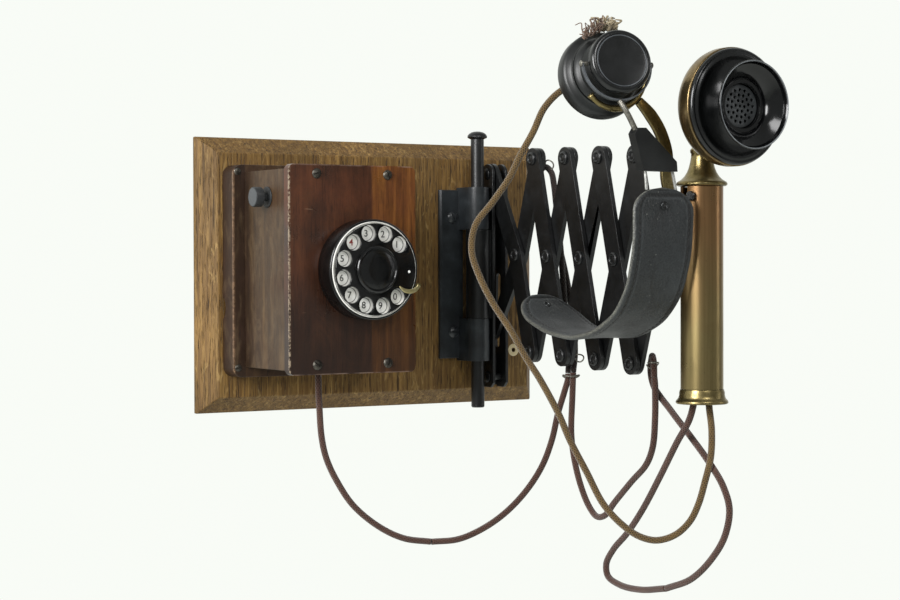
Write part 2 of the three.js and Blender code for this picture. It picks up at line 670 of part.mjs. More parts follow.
function makeTube() {
  const inner = MAST.r - MAST.wall;
  const tube = turned(
    [
      [inner, MAST.z0 + 11],
      [MAST.r, MAST.z0 + 11],
      [MAST.r, MAST.z1],
      [inner, MAST.z1],
      [inner, MAST.z0 + 11],
    ],
    36,
  );
  const wall = standUp(tube, MAST.x, MAST.y);
  const slotFoot = HOOK_PIVOT.z - 6.5;
  const hookSlot = block(MAST.x - 22, MAST.x - 8, MAST.y - 2.6, MAST.y + 2.6, slotFoot, MAST.z1 + 1);
  add("mast_tube", cut(wall, hookSlot), BRASS);

  const foot = turned(
    [
      [FOOT_BORE, MAST.z0],
      [19.2, MAST.z0],
      [19.6, MAST.z0 + 1.2],
      [18.6, MAST.z0 + 3],
      [17.4, MAST.z0 + 5],
      [16.6, MAST.z0 + 9],
      [MAST.r + 0.2, MAST.z0 + 11 - GAP],
      [FOOT_BORE, MAST.z0 + 11 - GAP],
      [FOOT_BORE, MAST.z0],
    ],
    36,
  );
  add("mast_foot", standUp(foot, MAST.x, MAST.y), BRASS);

  const collarBase = MAST.z1 + GAP;
  const collar = turned(
    [
      [0, collarBase],
      [17.8, collarBase],
      [19, collarBase + 1.2],
      [18.6, collarBase + 2.8],
      [16.2, collarBase + 4.4],
      [12.6, collarBase + 8],
      [9.6, collarBase + 14],
      [8, collarBase + 20],
      [NECK_R, collarBase + 25],
      [NECK_R, collarBase + 30],
      [0, collarBase + 30],
    ],
    32,
  );
  const tongue = plateYZ(
    stadium([MAST.y, collarBase + 27], [MAST.y, TILT_PIVOT_Z], 5.6),
    MAST.x - 2.6,
    MAST.x + 2.6,
  );
  const bore = rodX(MAST.x - 6, MAST.x + 6, MAST.y, TILT_PIVOT_Z, 2.3, 10);
  add("mast_collar", cut(join(standUp(collar, MAST.x, MAST.y), tongue), bore), BRASS);
}

// ---- transmitter --------------------------------------------------------------------------------
function makeTransmitter() {
  const t = TRANSMITTER;
  const rimBack = t.face + 1.6;
  // Heights along these profiles run out from the mast's axis towards -Y.
  const out = (y) => MAST.y - y;
  const place = (geometry) => geometry.rotateX(Math.PI).translate(MAST.x, MAST.y, t.z);
  const grilleBack = out(t.face) + 3.2;
  const shell = turned(
    [
      [0, 12.6],
      [20, 12.8],
      [30, 15],
      [37, 19.5],
      [41.5, 25],
      [43.4, out(rimBack) - 2],
      [43.4, out(rimBack)],
      [41.6, out(rimBack)],
      [39.4, 26],
      [35.6, 21.2],
      [29, 17],
      [20, 14.8],
      [0, 14.6],
    ],
    40,
  );
  const ears = [-1, 1].map((side) => {
    const x0 = side < 0 ? MAST.x - 5.4 : MAST.x + 2.9;
    return plateYZ(stadium([MAST.y, TILT_PIVOT_Z], [MAST.y - 14, TILT_PIVOT_Z + 3], 5), x0, x0 + 2.5);
  });
  const earBore = rodX(MAST.x - 8, MAST.x + 8, MAST.y, TILT_PIVOT_Z, 2.3, 10);
  add("transmitter_shell", cut(join(place(shell), ...ears), earBore), BRASS);
  const pin = rodX(MAST.x - 7.2, MAST.x + 7.2, MAST.y, TILT_PIVOT_Z, 2, 10);
  add("tilt_pin", pin, STEEL);

  const face = turned(
    [
      [0, out(rimBack) + GAP],
      [t.r, out(rimBack) + GAP],
      [t.r, out(t.face)],
      [t.r - 1.4, out(t.face) + 1],
      [t.r - 3.4, out(t.face) + 1.2],
      [t.r - 6, out(t.face) + 0.2],
      [30, out(t.face) + 1.4],
      [26, out(t.face) + 3.2],
      [22, out(t.face) + 5],
      [19, out(t.face) + 7],
      [GRILLE.r + GAP, out(t.face) + 7],
      [GRILLE.r + GAP, grilleBack - GAP],
      [0, grilleBack - GAP],
    ],
    40,
  );
  add("transmitter_face", place(face), HARD_RUBBER);

  const disc = new THREE.Shape();
  disc.absarc(0, 0, GRILLE.r, 0, 2 * Math.PI);
  GRILLE_RINGS.forEach(([radius, count]) => {
    for (let i = 0; i < count; i++) {
      const a = (i / count) * 2 * Math.PI + radius;
      const hole = new THREE.Path();
      hole.absarc(radius * Math.cos(a), radius * Math.sin(a), GRILLE.hole, 0, 2 * Math.PI, true);
      disc.holes.push(hole);
    }
  });
  const grille = plateXZ(disc, MAST.y - grilleBack, MAST.y - grilleBack - GRILLE.t, 4);
  add("mouth_grille", grille.translate(MAST.x, 0, t.z), HARD_RUBBER);

  const foot = out(t.face) + 7 + GAP;
  const rim = out(t.rim);
  const mouth = turned(
    [
      [GRILLE.r, foot],
      [18.6, foot],
      [19.6, foot + 3],
      [23, foot + 6.5],
      [28.4, foot + 10],
      [t.mouth - 0.6, rim - 1],
      [t.mouth, rim - 0.3],
      [t.mouth - 0.8, rim],
      [t.mouth - 2, rim - 0.8],
      [27, rim - 3.6],
      [21.5, foot + 6],
      [17.4, foot + 3.2],
      [GRILLE.r, foot + 1],
      [GRILLE.r, foot],
    ],
    40,
  );
  add("mouthpiece", place(mouth), HARD_RUBBER);
}

// ---- switch hook --------------------------------------------------------------------------------
function makeHook() {
  const y0 = MAST.y + FORK.t / 2;
  const y1 = MAST.y - FORK.t / 2;
  const fork = new THREE.Shape();
  const from = THREE.MathUtils.degToRad(FORK.from);
  const to = THREE.MathUtils.degToRad(FORK.to);
  fork.absarc(FORK.x, FORK.z, FORK.outer, from, to, false);
  fork.absarc(FORK.x, FORK.z, FORK.inner, to, from, true);
  const lever = ribbon(
    [
      [HOOK_PIVOT.x + 4, HOOK_PIVOT.z],
      [86, HOOK_PIVOT.z],
      [76, HOOK_PIVOT.z + 5],
      [72, HOOK_PIVOT.z + 16],
      [72, HOOK_PIVOT.z + 34],
      [66, HOOK_PIVOT.z + 50],
      [57, HOOK_PIVOT.z + 62],
      [45.2, HOOK_PIVOT.z + 72.6],
    ],
    9.6,
    22,
  );
  const bore = rodY(y0 + 1, y1 - 1, HOOK_PIVOT.x, HOOK_PIVOT.z, 2.4, 10);
  const hook = cut(join(plateXZ(fork, y0 - 0.3, y1 + 0.3, 20), plateXZ(lever, y0, y1)), bore);
  add("hook_lever", hook, BRASS);
  add("hook_pin", rodY(MAST.y + 9, MAST.y - 9, HOOK_PIVOT.x, HOOK_PIVOT.z, 2, 10), STEEL);
}

// ---- headset ------------------------------------------------------------------------------------
function makeHeadset() {
  const turn = THREE.MathUtils.degToRad(RECEIVER.turn);
  const lift = THREE.MathUtils.degToRad(RECEIVER.lift);
  const place = (geometry) => {
    geometry.rotateX(Math.PI); // height now runs towards -Y
    geometry.rotateX(-lift);
    geometry.rotateZ(-turn);
    return geometry.translate(RECEIVER.x, RECEIVER.y, RECEIVER.z);
  };
  const shell = turned(
    [
      [0, -14],
      [24, -14],
      [25.6, -12.6],
      [25, -10.6],
      [22.4, -9],
      [22, -4],
      [22, 7.4],
      [CAP_R, 8.2],
      [CAP_R, 9.6],
      [0, 9.6],
    ],
    32,
  );
  add("receiver_shell", place(shell), HARD_RUBBER);
  const cap = turned(
    [
      [0, 9.6 + GAP],
      [CAP_R - 0.4, 9.6 + GAP],
      [CAP_R, 11],
      [CAP_R - 0.2, 15],
      [CAP_R - 1.6, 16.6],
      [CAP_R - 4.6, 16.8],
      [CAP_R - 5.4, 16],
      [0, 15.8],
    ],
    32,
  );
  add("receiver_cap", place(cap), HARD_RUBBER);
  const ear = turned(
    [
      [7, -31],
      [22, -31.4],
      [EAR_R - 2, -30],
      [EAR_R, -27],
      [EAR_R, -19],
      [EAR_R - 2.4, -16.4],
      [26.6, -14.4],
      [26, -14 - GAP],
      [7, -14 - GAP],
      [7, -31],
    ],
    36,
  );
  add("ear_cap", place(ear), HARD_RUBBER);

  const STEM_END = [34.6, -332.4, 99.9];
  // Strap round the shell, and the knurled stem from it down to the slide block.
  const strapShape = new THREE.Shape();
  strapShape.absarc(0, 0, STRAP.r + STRAP.t / 2, 0, Math.PI, false);
  strapShape.absarc(0, 0, STRAP.r - STRAP.t / 2, Math.PI, 0, true);
  const strap = plateXZ(strapShape, STRAP.h - STRAP.width / 2, STRAP.h + STRAP.width / 2, 14);
  const lugs = [-STRAP.r, STRAP.lug].map((x) => rodX(x, x + STRAP.r - STRAP.lug, STRAP.h, 0, 1.4, 8));
  const stem = cordAlong(
    [
      [21.1, -327.8, 125.5],
      [22.6, -330, 121],
      [26, -331.8, 114.5],
      [30.3, -332.1, 107.2],
      STEM_END,
    ],
    2.1,
    6,
    8,
  );
  add("band_stem", join(place(strap), ...lugs.map(place), stem), STEEL);

  const outline = new THREE.Shape([
    new THREE.Vector2(31, 105.6),
    new THREE.Vector2(28.3, 101.3),
    new THREE.Vector2(36, 75),
    new THREE.Vector2(67, 74.8),
    new THREE.Vector2(66.4, 82),
    new THREE.Vector2(38.6, 105.8),
  ]);
  const blockBack = -328.4;
  const blockFront = -336.4;
  const crossZ = 79;
  const cavity = block(38, 66.4, -330.9, -333.9, 70, crossZ + 1.9);
  const stemBore = cordAlong(
    [
      [26, -331.8, 114.5],
      STEM_END,
      [38.9, -332.7, 92.6],
    ],
    2.6,
    2,
    8,
  );
  add("band_block", cut(plateXZ(outline, blockBack, blockFront), cavity, stemBore), HARD_RUBBER);

  const wireY = -332.4;
  const wires = [
    cordAlong([[40.2, wireY, crossZ], [41, wireY, 70], [42, wireY + 0.4, 63.4]], 1.1, 3, 6),
    cordAlong([[64, wireY, crossZ], [66.4, wireY, 70], [68.6, wireY + 0.4, 63.4]], 1.1, 3, 6),
    rodX(40.2, 64, wireY, crossZ, 1.1, 6),
  ];
  add("band_wires", join(...wires), STEEL);

  const line = [
    [-331, 62.6],
    [-331.5, 50],
    [-331, 29],
    [-328, 9],
    [-320, -11],
    [-305.5, -28],
    [-284, -40],
    [-258, -45.5],
    [-230, -44.5],
    [-203, -37],
    [-186, -28],
    [-172, -17],
  ];
  add("head_pad", plateYZ(ribbon(line, PAD.t, 22), PAD.x0, PAD.x1), LEATHER);
}

// ---- cords --------------------------------------------------------------------------------------
function makeCords() {
  const wallLow = [-6, -110, -214];
  const wallHalf = [
    [CORD_EXIT.x, CORD_EXIT.y, BODY.z0 + 2],
    [-93.8, -85, -90],
    [-93.2, -85.4, -106],
    [-91.6, -85.8, -128],
    [-88, -87, -145],
    [-80, -89.4, -163],
    [-67, -93, -183],
    [-46, -98.6, -201],
    [-27, -104.2, -210.5],
    wallLow,
  ];
  add("cord_wall_a", cordAlong(wallHalf, CORD_R, 16), BROWN_CORD);
  const wallRise = [
    [-5.2, -110.2, -214.1],
    [16, -116, -213],
    [35, -121, -206],
    [54, -126, -194],
    [72, -130, -177],
    [87, -132, -157],
    [97, -132, -136],
    [104, -131, -114],
    [110, -131.4, -97],
    [113.6, -131.6, -86],
    [113.8, -131.6, -81.8],
  ];
  add("cord_wall_b", cordAlong(wallRise, CORD_R, 15), BROWN_CORD);
  const riser = [
    [113.9, -131.6, -81.2],
    [115.4, -130.4, -70],
    [115.4, -125, -30],
    [115.4, -119, 20],
    [115.4, -112, 60],
    [115.4, -109.4, 74],
    [115.4, -105.6, 84.5],
    [115.4, -96.5, 89.5],
    [115.4, -87.4, 84.5],
    [115.4, -85.4, 74],
    [116.2, -92, 58],
    [121, -108, 24],
    [121.6, -126, -30],
    [118, -135.4, -64],
    [114.6, -137.6, -80],
  ];
  add("cord_riser", cordAlong(riser, CORD_R, 32), BROWN_CORD);
  const armLoop = [
    [114.5, -137.7, -80.6],
    [114.2, -137, -100],
    [114, -135.6, -130],
    [114, -139, -149],
    [114, -148, -171],
    [114, -160, -188],
    [114, -171, -195.5],
    [114, -182, -193.5],
    [114, -195, -182],
    [114, -218, -163],
    [114, -237, -148],
    [114, -245, -134],
    [114, -248, -112],
    [114, -248, -86],
    [114.4, -246.6, -80],
  ];
  add("cord_arm", cordAlong(armLoop, CORD_R, 18), BROWN_CORD);
  const mastDown = [
    [114.5, -246.3, -79.7],
    [114.8, -245.7, -72],
    [116.2, -243.2, -66.6],
    [119.6, -237.3, -63.6],
    [122.8, -232, -66.4],
    [124.2, -229, -73],
    [123.8, -230.5, -81],
    [122.6, -236, -88.5],
    [121, -246, -95.5],
    [119.2, -258, -102.5],
    [116.4, -273, -111],
    [114.2, -294, -124.5],
    [113, -316, -141],
    [112, -333, -157],
    [111.6, -340.5, -173],
    [111, -336, -193],
    [110.4, -320, -213],
    [110, -297, -230],
    [109.6, -268, -240.6],
  ];
  add("cord_mast_a", cordAlong(mastDown, CORD_R, 34), BROWN_CORD);
  const mastRise = [
    [109.6, -267.2, -240.8],
    [109, -236, -245.8],
    [108.6, -209, -245.4],
    [108, -194, -240],
    [107.6, -192.6, -231],
    [107, -203, -218],
    [106.4, -222, -203],
    [105, -244, -182],
    [103, -268, -155],
    [101.4, -291, -127],
    [101, -307, -108],
    [101.2, -313, -92],
    [101.4, -314, -84],
  ];
  add("cord_mast_b", cordAlong(mastRise, CORD_R, 18), BROWN_CORD);
  const receiverCord = [
    [20, -282, 141],
    [11, -271, 136.5],
    [2, -261, 124],
    [-3, -253, 106],
    [-11, -247, 88],
    [-17, -242, 72],
    [-27, -235, 54.5],
    [-38, -228, 37],
    [-40, -226, 18],
    [-36, -229, 1],
    [-27, -235, -21],
    [-16, -242, -41],
    [-6, -247, -61],
    [3, -253, -78],
    [15, -260, -104],
    [22, -264, -123],
    [33, -270, -147],
    [44, -276, -171],
    [55, -284, -186],
    [66, -291, -195],
    [77, -298, -198],
    [89, -305, -194],
    [98, -311, -184],
    [103, -315, -171],
    [106, -319, -154],
    [109, -322, -136],
    [110, -322, -116],
    [109.2, -320, -98],
    [108.8, -319.6, -84],
  ];
  add("cord_receiver", cordAlong(receiverCord, CORD_R, 34), OLIVE_CORD);
}

// Wire ring that gathers the cord's strands under the second lower pivot.
function makeRing() {
  const ring = new THREE.TorusGeometry(CORD_RING.r, CORD_RING.wire, 6, 16);
  add("cord_ring", ring.translate(CORD_RING.x, CORD_RING.y, CORD_RING.z), STEEL);
}

makeBoard();
makeBox();
makeButton();
makeWorks();
makeDial();
makeHinge();
makeGate();
makeTongs();
makeBracket();
makeTube();
makeTransmitter();
makeHook();
makeHeadset();
makeCords();
makeRing();

export default telephone;
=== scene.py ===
import json
import random
from math import ceil, cos, pi, radians, sin, sqrt

import bmesh
import bpy
from mathutils import Matrix, Vector


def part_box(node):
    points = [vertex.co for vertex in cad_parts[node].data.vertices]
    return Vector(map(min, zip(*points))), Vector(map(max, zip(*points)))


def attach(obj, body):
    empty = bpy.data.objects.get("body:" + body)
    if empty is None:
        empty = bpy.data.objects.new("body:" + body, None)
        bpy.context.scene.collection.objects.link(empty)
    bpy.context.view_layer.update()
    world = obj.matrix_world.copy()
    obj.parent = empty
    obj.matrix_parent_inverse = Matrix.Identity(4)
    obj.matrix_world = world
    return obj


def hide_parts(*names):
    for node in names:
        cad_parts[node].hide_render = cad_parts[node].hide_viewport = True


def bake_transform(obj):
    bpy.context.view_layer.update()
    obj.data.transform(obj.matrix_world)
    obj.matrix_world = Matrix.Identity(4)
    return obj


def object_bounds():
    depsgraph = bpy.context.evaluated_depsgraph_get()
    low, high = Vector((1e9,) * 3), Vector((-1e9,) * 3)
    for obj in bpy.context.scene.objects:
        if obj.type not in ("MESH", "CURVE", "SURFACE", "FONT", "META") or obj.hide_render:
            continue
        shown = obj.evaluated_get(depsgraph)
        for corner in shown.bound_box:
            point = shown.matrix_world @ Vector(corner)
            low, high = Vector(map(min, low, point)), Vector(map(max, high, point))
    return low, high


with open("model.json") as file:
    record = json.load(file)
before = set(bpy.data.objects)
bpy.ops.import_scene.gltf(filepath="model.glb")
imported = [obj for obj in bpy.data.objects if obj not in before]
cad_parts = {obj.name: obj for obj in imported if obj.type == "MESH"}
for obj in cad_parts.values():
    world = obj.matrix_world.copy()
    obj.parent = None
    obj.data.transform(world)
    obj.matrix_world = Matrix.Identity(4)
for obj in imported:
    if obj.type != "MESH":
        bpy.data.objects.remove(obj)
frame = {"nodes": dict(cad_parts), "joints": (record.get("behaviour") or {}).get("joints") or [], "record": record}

CAD_BOX = [list(corner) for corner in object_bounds()]
MM = 0.001
BODY_OF = {
    node: body for body, nodes in frame["record"]["behaviour"]["bodies"].items() for node in nodes
}
JOINT = {joint["name"]: joint for joint in frame["joints"]}


def span(node):
    """The low and high corners of a CAD node's box, in millimetres."""
    low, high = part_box(node)
    return low / MM, high / MM


def centre_of(node):
    low, high = span(node)
    return (low + high) / 2


def joint_at(name):
    return Vector(JOINT[name]["pos_m"]) / MM


def show(made):
    bpy.context.scene.collection.objects.link(made)


# ---- camera --------------------------------------------------------------------------------------
CAMERA_AT = (-0.8660, -1.5238, 0.0066)
CAMERA_TURN = (-31.87, 0.93, -0.16)


def make_camera():
    azimuth, pitch, roll = (radians(angle) for angle in CAMERA_TURN)
    ahead = Vector((-sin(azimuth) * cos(pitch), cos(azimuth) * cos(pitch), -sin(pitch)))
    right = Vector((cos(azimuth), sin(azimuth), 0))
    up = right.cross(ahead)
    turned_right = right * cos(roll) + up * sin(roll)
    turned_up = up * cos(roll) - right * sin(roll)
    camera = bpy.data.objects.new("camera", bpy.data.cameras.new("camera"))
    camera.data.sensor_width = 36
    camera.data.lens = 82.72
    camera.data.clip_end = 50
    facing = Matrix((turned_right, turned_up, -ahead)).transposed().to_4x4()
    camera.matrix_world = Matrix.Translation(CAMERA_AT) @ facing
    show(camera)
    bpy.context.scene.camera = camera


# ---- light and floor -----------------------------------------------------------------------------
WALL_TONE = (0.945, 0.972, 0.925, 1)
ROOM_TONE = (0.30, 0.31, 0.30, 1)
FLOOR_DROP = 1.25


def area_light(name, place, aim, size, power):
    data = bpy.data.lights.new(name, "AREA")
    data.shape = "RECTANGLE"
    data.size, data.size_y = size
    data.energy = power
    light = bpy.data.objects.new(name, data)
    light.location = place
    light.rotation_euler = (Vector(aim) - Vector(place)).to_track_quat("-Z", "Y").to_euler()
    show(light)


def make_studio():
    """Pale behind the telephone, dimmer on the room's side, so that black parts keep dark reflections."""
    world = bpy.data.worlds.new("studio")
    world.use_nodes = True
    nodes, links = world.node_tree.nodes, world.node_tree.links
    direction = nodes.new("ShaderNodeTexCoord")
    split = nodes.new("ShaderNodeSeparateXYZ")
    links.new(direction.outputs["Generated"], split.inputs["Vector"])
    towards_wall = nodes.new("ShaderNodeMapRange")
    towards_wall.interpolation_type = "SMOOTHSTEP"
    links.new(split.outputs["Y"], towards_wall.inputs["Value"])
    towards_wall.inputs["From Min"].default_value = -0.15
    towards_wall.inputs["From Max"].default_value = 0.5
    tone = nodes.new("ShaderNodeMix")
    tone.data_type = "RGBA"
    links.new(towards_wall.outputs["Result"], tone.inputs["Factor"])
    tone.inputs["A"].default_value = ROOM_TONE
    tone.inputs["B"].default_value = WALL_TONE
    links.new(tone.outputs["Result"], nodes["Background"].inputs["Color"])
    bpy.context.scene.world = world
    bpy.context.scene.view_settings.view_transform = "Standard"
    area_light("key", (-1.9, -0.85, 0.7), (0.0, -0.15, 0.0), (1.0, 1.1), 58)
    area_light("front", (-0.35, -2.3, 1.5), (0.05, -0.2, 0.0), (0.9, 0.7), 20)
    area_light("right", (1.7, -1.3, 0.4), (0.1, -0.25, 0.0), (0.3, 1.3), 3)

    pale = Finish("pale_studio")
    pale.base = pale.ramp(pale.noise(3, 2), (0.3, (0.80, 0.82, 0.79)), (0.7, (0.84, 0.86, 0.83)))
    pale.set(rough=pale.ramp(pale.noise(5, 2), (0.3, 0.85), (0.7, 0.95)))
    floor = bpy.data.meshes.new("floor")
    low, far = CAD_BOX[0][2] - FLOOR_DROP, 4
    corners = [(-far, -far, low), (far, -far, low), (far, far, low), (-far, far, low)]
    floor.from_pydata(corners, [], [(0, 1, 2, 3)])
    floor.materials.append(pale.material)
    piece = bpy.data.objects.new("floor", floor)
    show(piece)


# ---- materials -----------------------------------------------------------------------------------
def linear(code):
    """A hex colour as linear light."""
    parts = [int(code[i:i + 2], 16) / 255 for i in (0, 2, 4)]
    return tuple(c / 12.92 if c <= 0.04045 else ((c + 0.055) / 1.055) ** 2.4 for c in parts)


SHADER_INPUTS = {
    "rough": "Roughness", "metal": "Metallic", "spec": "Specular IOR Level", "coat": "Coat Weight",
    "sheen": "Sheen Weight", "sheen_rough": "Sheen Roughness",
}


class Finish:
    """One material and the few node shapes that the finishes below are made of."""

    def __init__(self, name):
        self.material = bpy.data.materials.new(name)
        self.material.use_nodes = True
        self.tree = self.material.node_tree
        self.shader = self.tree.nodes["Principled BSDF"]
        self.coordinates = None
        self.base = None

    def node(self, kind, **values):
        made = self.tree.nodes.new(kind)
        for key, value in values.items():
            setattr(made, key, value)
        return made

    def link(self, source, target):
        self.tree.links.new(source, target)

    def feed(self, socket, value):
        if isinstance(value, bpy.types.NodeSocket):
            self.link(value, socket)
        else:
            socket.default_value = value

    def place(self, stretch=(1, 1, 1), uv=False):
        """Coordinates in metres on the object, or along and round a cord when uv is set."""
        if uv:
            source = self.node("ShaderNodeUVMap", uv_map="UVMap").outputs["UV"]
        else:
            if self.coordinates is None:
                self.coordinates = self.node("ShaderNodeTexCoord")
            source = self.coordinates.outputs["Object"]
        mapping = self.node("ShaderNodeMapping")
        self.link(source, mapping.inputs["Vector"])
        mapping.inputs["Scale"].default_value = stretch
        return mapping.outputs["Vector"]

    def noise(self, scale, detail=4, roughness=0.55, stretch=(1, 1, 1), warp=0):
        made = self.node("ShaderNodeTexNoise")
        self.link(self.place(stretch), made.inputs["Vector"])
        values = {"Scale": scale, "Detail": detail, "Roughness": roughness, "Distortion": warp}
        for key, value in values.items():
            made.inputs[key].default_value = value
        return made.outputs["Fac"]

    def cells(self, scale):
        made = self.node("ShaderNodeTexVoronoi")
        self.link(self.place(), made.inputs["Vector"])
        made.inputs["Scale"].default_value = scale
        return made.outputs["Distance"]

    def ramp(self, factor, *stops):
        """Each stop is (position, colour), where the colour is a hex code, a grey or linear light."""
        made = self.node("ShaderNodeValToRGB")
        band = made.color_ramp
        while len(band.elements) < len(stops):
            band.elements.new(0.5)
        for element, (position, colour) in zip(band.elements, stops):
            element.position = position
            if isinstance(colour, str):
                colour = linear(colour)
            grey = isinstance(colour, (int, float))
            element.color = (colour, colour, colour, 1) if grey else (*colour, 1)
        self.link(factor, made.inputs["Fac"])
        return made.outputs["Color"]

    def mix(self, factor, first, second):
        made = self.node("ShaderNodeMix", data_type="RGBA")
        self.feed(made.inputs["Factor"], factor)
        self.feed(made.inputs["A"], first)
        self.feed(made.inputs["B"], second)
        return made.outputs["Result"]

    def layer(self, colour, *shares):
        """Lays a colour over the base; its strength is the product of the shares."""
        self.base = self.mix(self.times(*shares), self.base, (*linear(colour), 1))

    def math(self, operation, first, second=0.0, third=0.0):
        made = self.node("ShaderNodeMath", operation=operation)
        for socket, value in zip(made.inputs, (first, second, third)):
            self.feed(socket, value)
        return made.outputs["Value"]

    def axis(self, name):
        """The object's X, Y or Z in metres."""
        split = self.node("ShaderNodeSeparateXYZ")
        self.link(self.place(), split.inputs["Vector"])
        return split.outputs[name]

    def band(self, value, start, end):
        """0 before start, 1 after end, straight between."""
        made = self.node("ShaderNodeMapRange", clamp=True)
        self.link(value, made.inputs["Value"])
        made.inputs["From Min"].default_value = start
        made.inputs["From Max"].default_value = end
        return made.outputs["Result"]

    def stored(self, name):
        """A number stored on the mesh's points."""
        return self.node("ShaderNodeAttribute", attribute_name=name).outputs["Fac"]

    def times(self, *factors):
        total = factors[0]
        for factor in factors[1:]:
            total = self.math("MULTIPLY", total, factor)
        return total

    def bump(self, height, strength, depth):
        made = self.node("ShaderNodeBump")
        made.inputs["Strength"].default_value = strength
        made.inputs["Distance"].default_value = depth
        self.link(height, made.inputs["Height"])
        self.link(made.outputs["Normal"], self.shader.inputs["Normal"])

    def set(self, **values):
        self.link(self.base, self.shader.inputs["Base Color"])
        for key, value in values.items():
            self.feed(self.shader.inputs[SHADER_INPUTS[key]], value)
        return self.material


def oak():
    f = Finish("oak")
    streaks = f.noise(420, 7, 0.72, (1, 1, 0.035), warp=0.5)
    rings = f.noise(60, 4, 0.55, (1, 1, 0.04), warp=1.2)
    flecks = f.noise(1200, 2, 0.5, (1, 1, 0.06))
    rays = f.noise(240, 3, 0.5, (1, 1, 0.3), warp=0.8)
    blotch = f.noise(12, 4, 0.6)
    f.base = f.ramp(streaks, (0.3, "43301a"), (0.46, "6e5129"), (0.6, "8f6f3c"), (0.72, "ad8d56"))
    f.layer("5a4320", f.band(rings, 0.42, 0.62), 0.5)
    f.layer("221505", f.band(flecks, 0.57, 0.66), 0.8)
    f.layer("b3945c", f.band(rays, 0.6, 0.72), 0.45)
    checks = f.noise(260, 2, 0.5, (1, 1, 0.03))
    f.layer("2b1c0a", f.band(checks, 0.66, 0.71), 0.7)
    f.layer("46331a", f.band(blotch, 0.45, 0.7), 0.4)
    height = f.math("SUBTRACT", f.times(streaks, 0.7), f.times(f.band(flecks, 0.55, 0.68), 0.6))
    f.bump(height, 0.7, 0.0006)
    return f.set(rough=f.ramp(blotch, (0.3, 0.5), (0.8, 0.66)), spec=0.3)


def box_front():
    f = Finish("box_front")
    streaks = f.noise(170, 6, 0.65, (1, 1, 0.05), warp=0.3)
    pores = f.noise(1100, 2, 0.5, (1, 1, 0.05))
    blotch = f.noise(20, 5, 0.6)
    dark = f.ramp(streaks, (0.3, "26170f"), (0.55, "382116"), (0.75, "4f2f1e"))
    warm = f.ramp(streaks, (0.3, "3d2410"), (0.5, "643c19"), (0.7, "8d5c2b"))
    x, z = f.axis("X"), f.axis("Z")
    wander = f.math("MULTIPLY_ADD", f.noise(9, 3, 0.5, (1, 1, 0.5)), 0.004, x)
    f.base = f.mix(f.band(wander, -0.0635, -0.0612), dark, warm)
    mottle = f.noise(55, 6, 0.7, (1, 1, 0.35), warp=0.8)
    f.layer("1f120d", f.band(mottle, 0.5, 0.72), 0.55)
    f.layer("6a4126", f.band(mottle, 0.5, 0.3), 0.3)
    # Painted reflection: the upper part of the front is lighter and redder, in blotches, like a sheen of light on
    # the gloss.
    painted_upper_sheen = f.times(f.band(z, -0.03, 0.05), f.band(blotch, 0.4, 0.65), 0.5)
    f.layer("64341b", painted_upper_sheen)
    # Painted shade: the front is darker towards the bottom.
    f.layer("20140e", f.band(z, 0.005, -0.06), 0.68)
    f.layer("120906", f.band(pores, 0.6, 0.7), 0.5)
    scratches = f.times(f.band(f.noise(900, 2, 0.5, (0.06, 1, 0.5), warp=0.4), 0.74, 0.78), 0.35)
    f.layer("8a6e58", scratches)
    speckle = f.band(f.noise(520, 3, 0.7), 0.45, 0.56)
    corner = f.times(f.band(x, -0.1360, -0.1367), f.band(f.axis("Y"), -0.1180, -0.1188))
    f.layer("a3927c", corner, speckle, 0.85)
    rims = f.math("MAXIMUM", f.band(z, 0.0843, 0.0850), f.band(z, -0.0755, -0.0762))
    f.layer("8a7466", rims, f.band(f.noise(90, 3, 0.6), 0.35, 0.6), 0.55)
    f.bump(f.math("ADD", f.times(streaks, 0.7), f.times(pores, -0.4)), 0.3, 0.0003)
    return f.set(rough=f.ramp(blotch, (0.3, 0.22), (0.7, 0.4)), spec=0.45)


def box_side():
    f = Finish("box_side")
    streaks = f.noise(120, 6, 0.65, (1, 1, 0.05), warp=0.3)
    pores = f.noise(1000, 2, 0.5, (1, 1, 0.06))
    blotch = f.noise(24, 5, 0.65)
    x, y = f.axis("X"), f.axis("Y")
    f.base = f.ramp(streaks, (0.3, "2c1f13"), (0.55, "44321f"), (0.78, "5c472d"))
    flange = f.band(y, -0.0395, -0.0375)
    f.layer("331c11", flange, 0.75)
    # Painted shadow: the body's left face is darker where it meets the flange.
    painted_corner_shade = f.times(f.band(y, -0.060, -0.042), f.band(x, -0.1340, -0.1347), 0.6)
    f.layer("1a100b", painted_corner_shade)
    f.layer("3b2519", f.band(blotch, 0.45, 0.7), 0.5)
    f.layer("150d08", f.band(pores, 0.58, 0.7), 0.6)
    smudge = f.noise(70, 6, 0.7, (1, 1, 0.4), warp=0.9)
    f.layer("20140d", f.band(smudge, 0.52, 0.7), 0.5)
    f.layer("6d5a42", f.band(smudge, 0.48, 0.3), 0.35)
    speckle = f.band(f.noise(300, 3, 0.7), 0.42, 0.58)
    corner = f.times(f.band(x, -0.1432, -0.1444), f.band(y, -0.0364, -0.0376))
    f.layer("86694f", corner, f.math("MULTIPLY_ADD", speckle, 0.5, 0.25))
    f.bump(f.math("ADD", streaks, f.times(pores, -0.5)), 0.35, 0.0003)
    return f.set(rough=f.ramp(blotch, (0.3, 0.34), (0.7, 0.55)), spec=0.4)


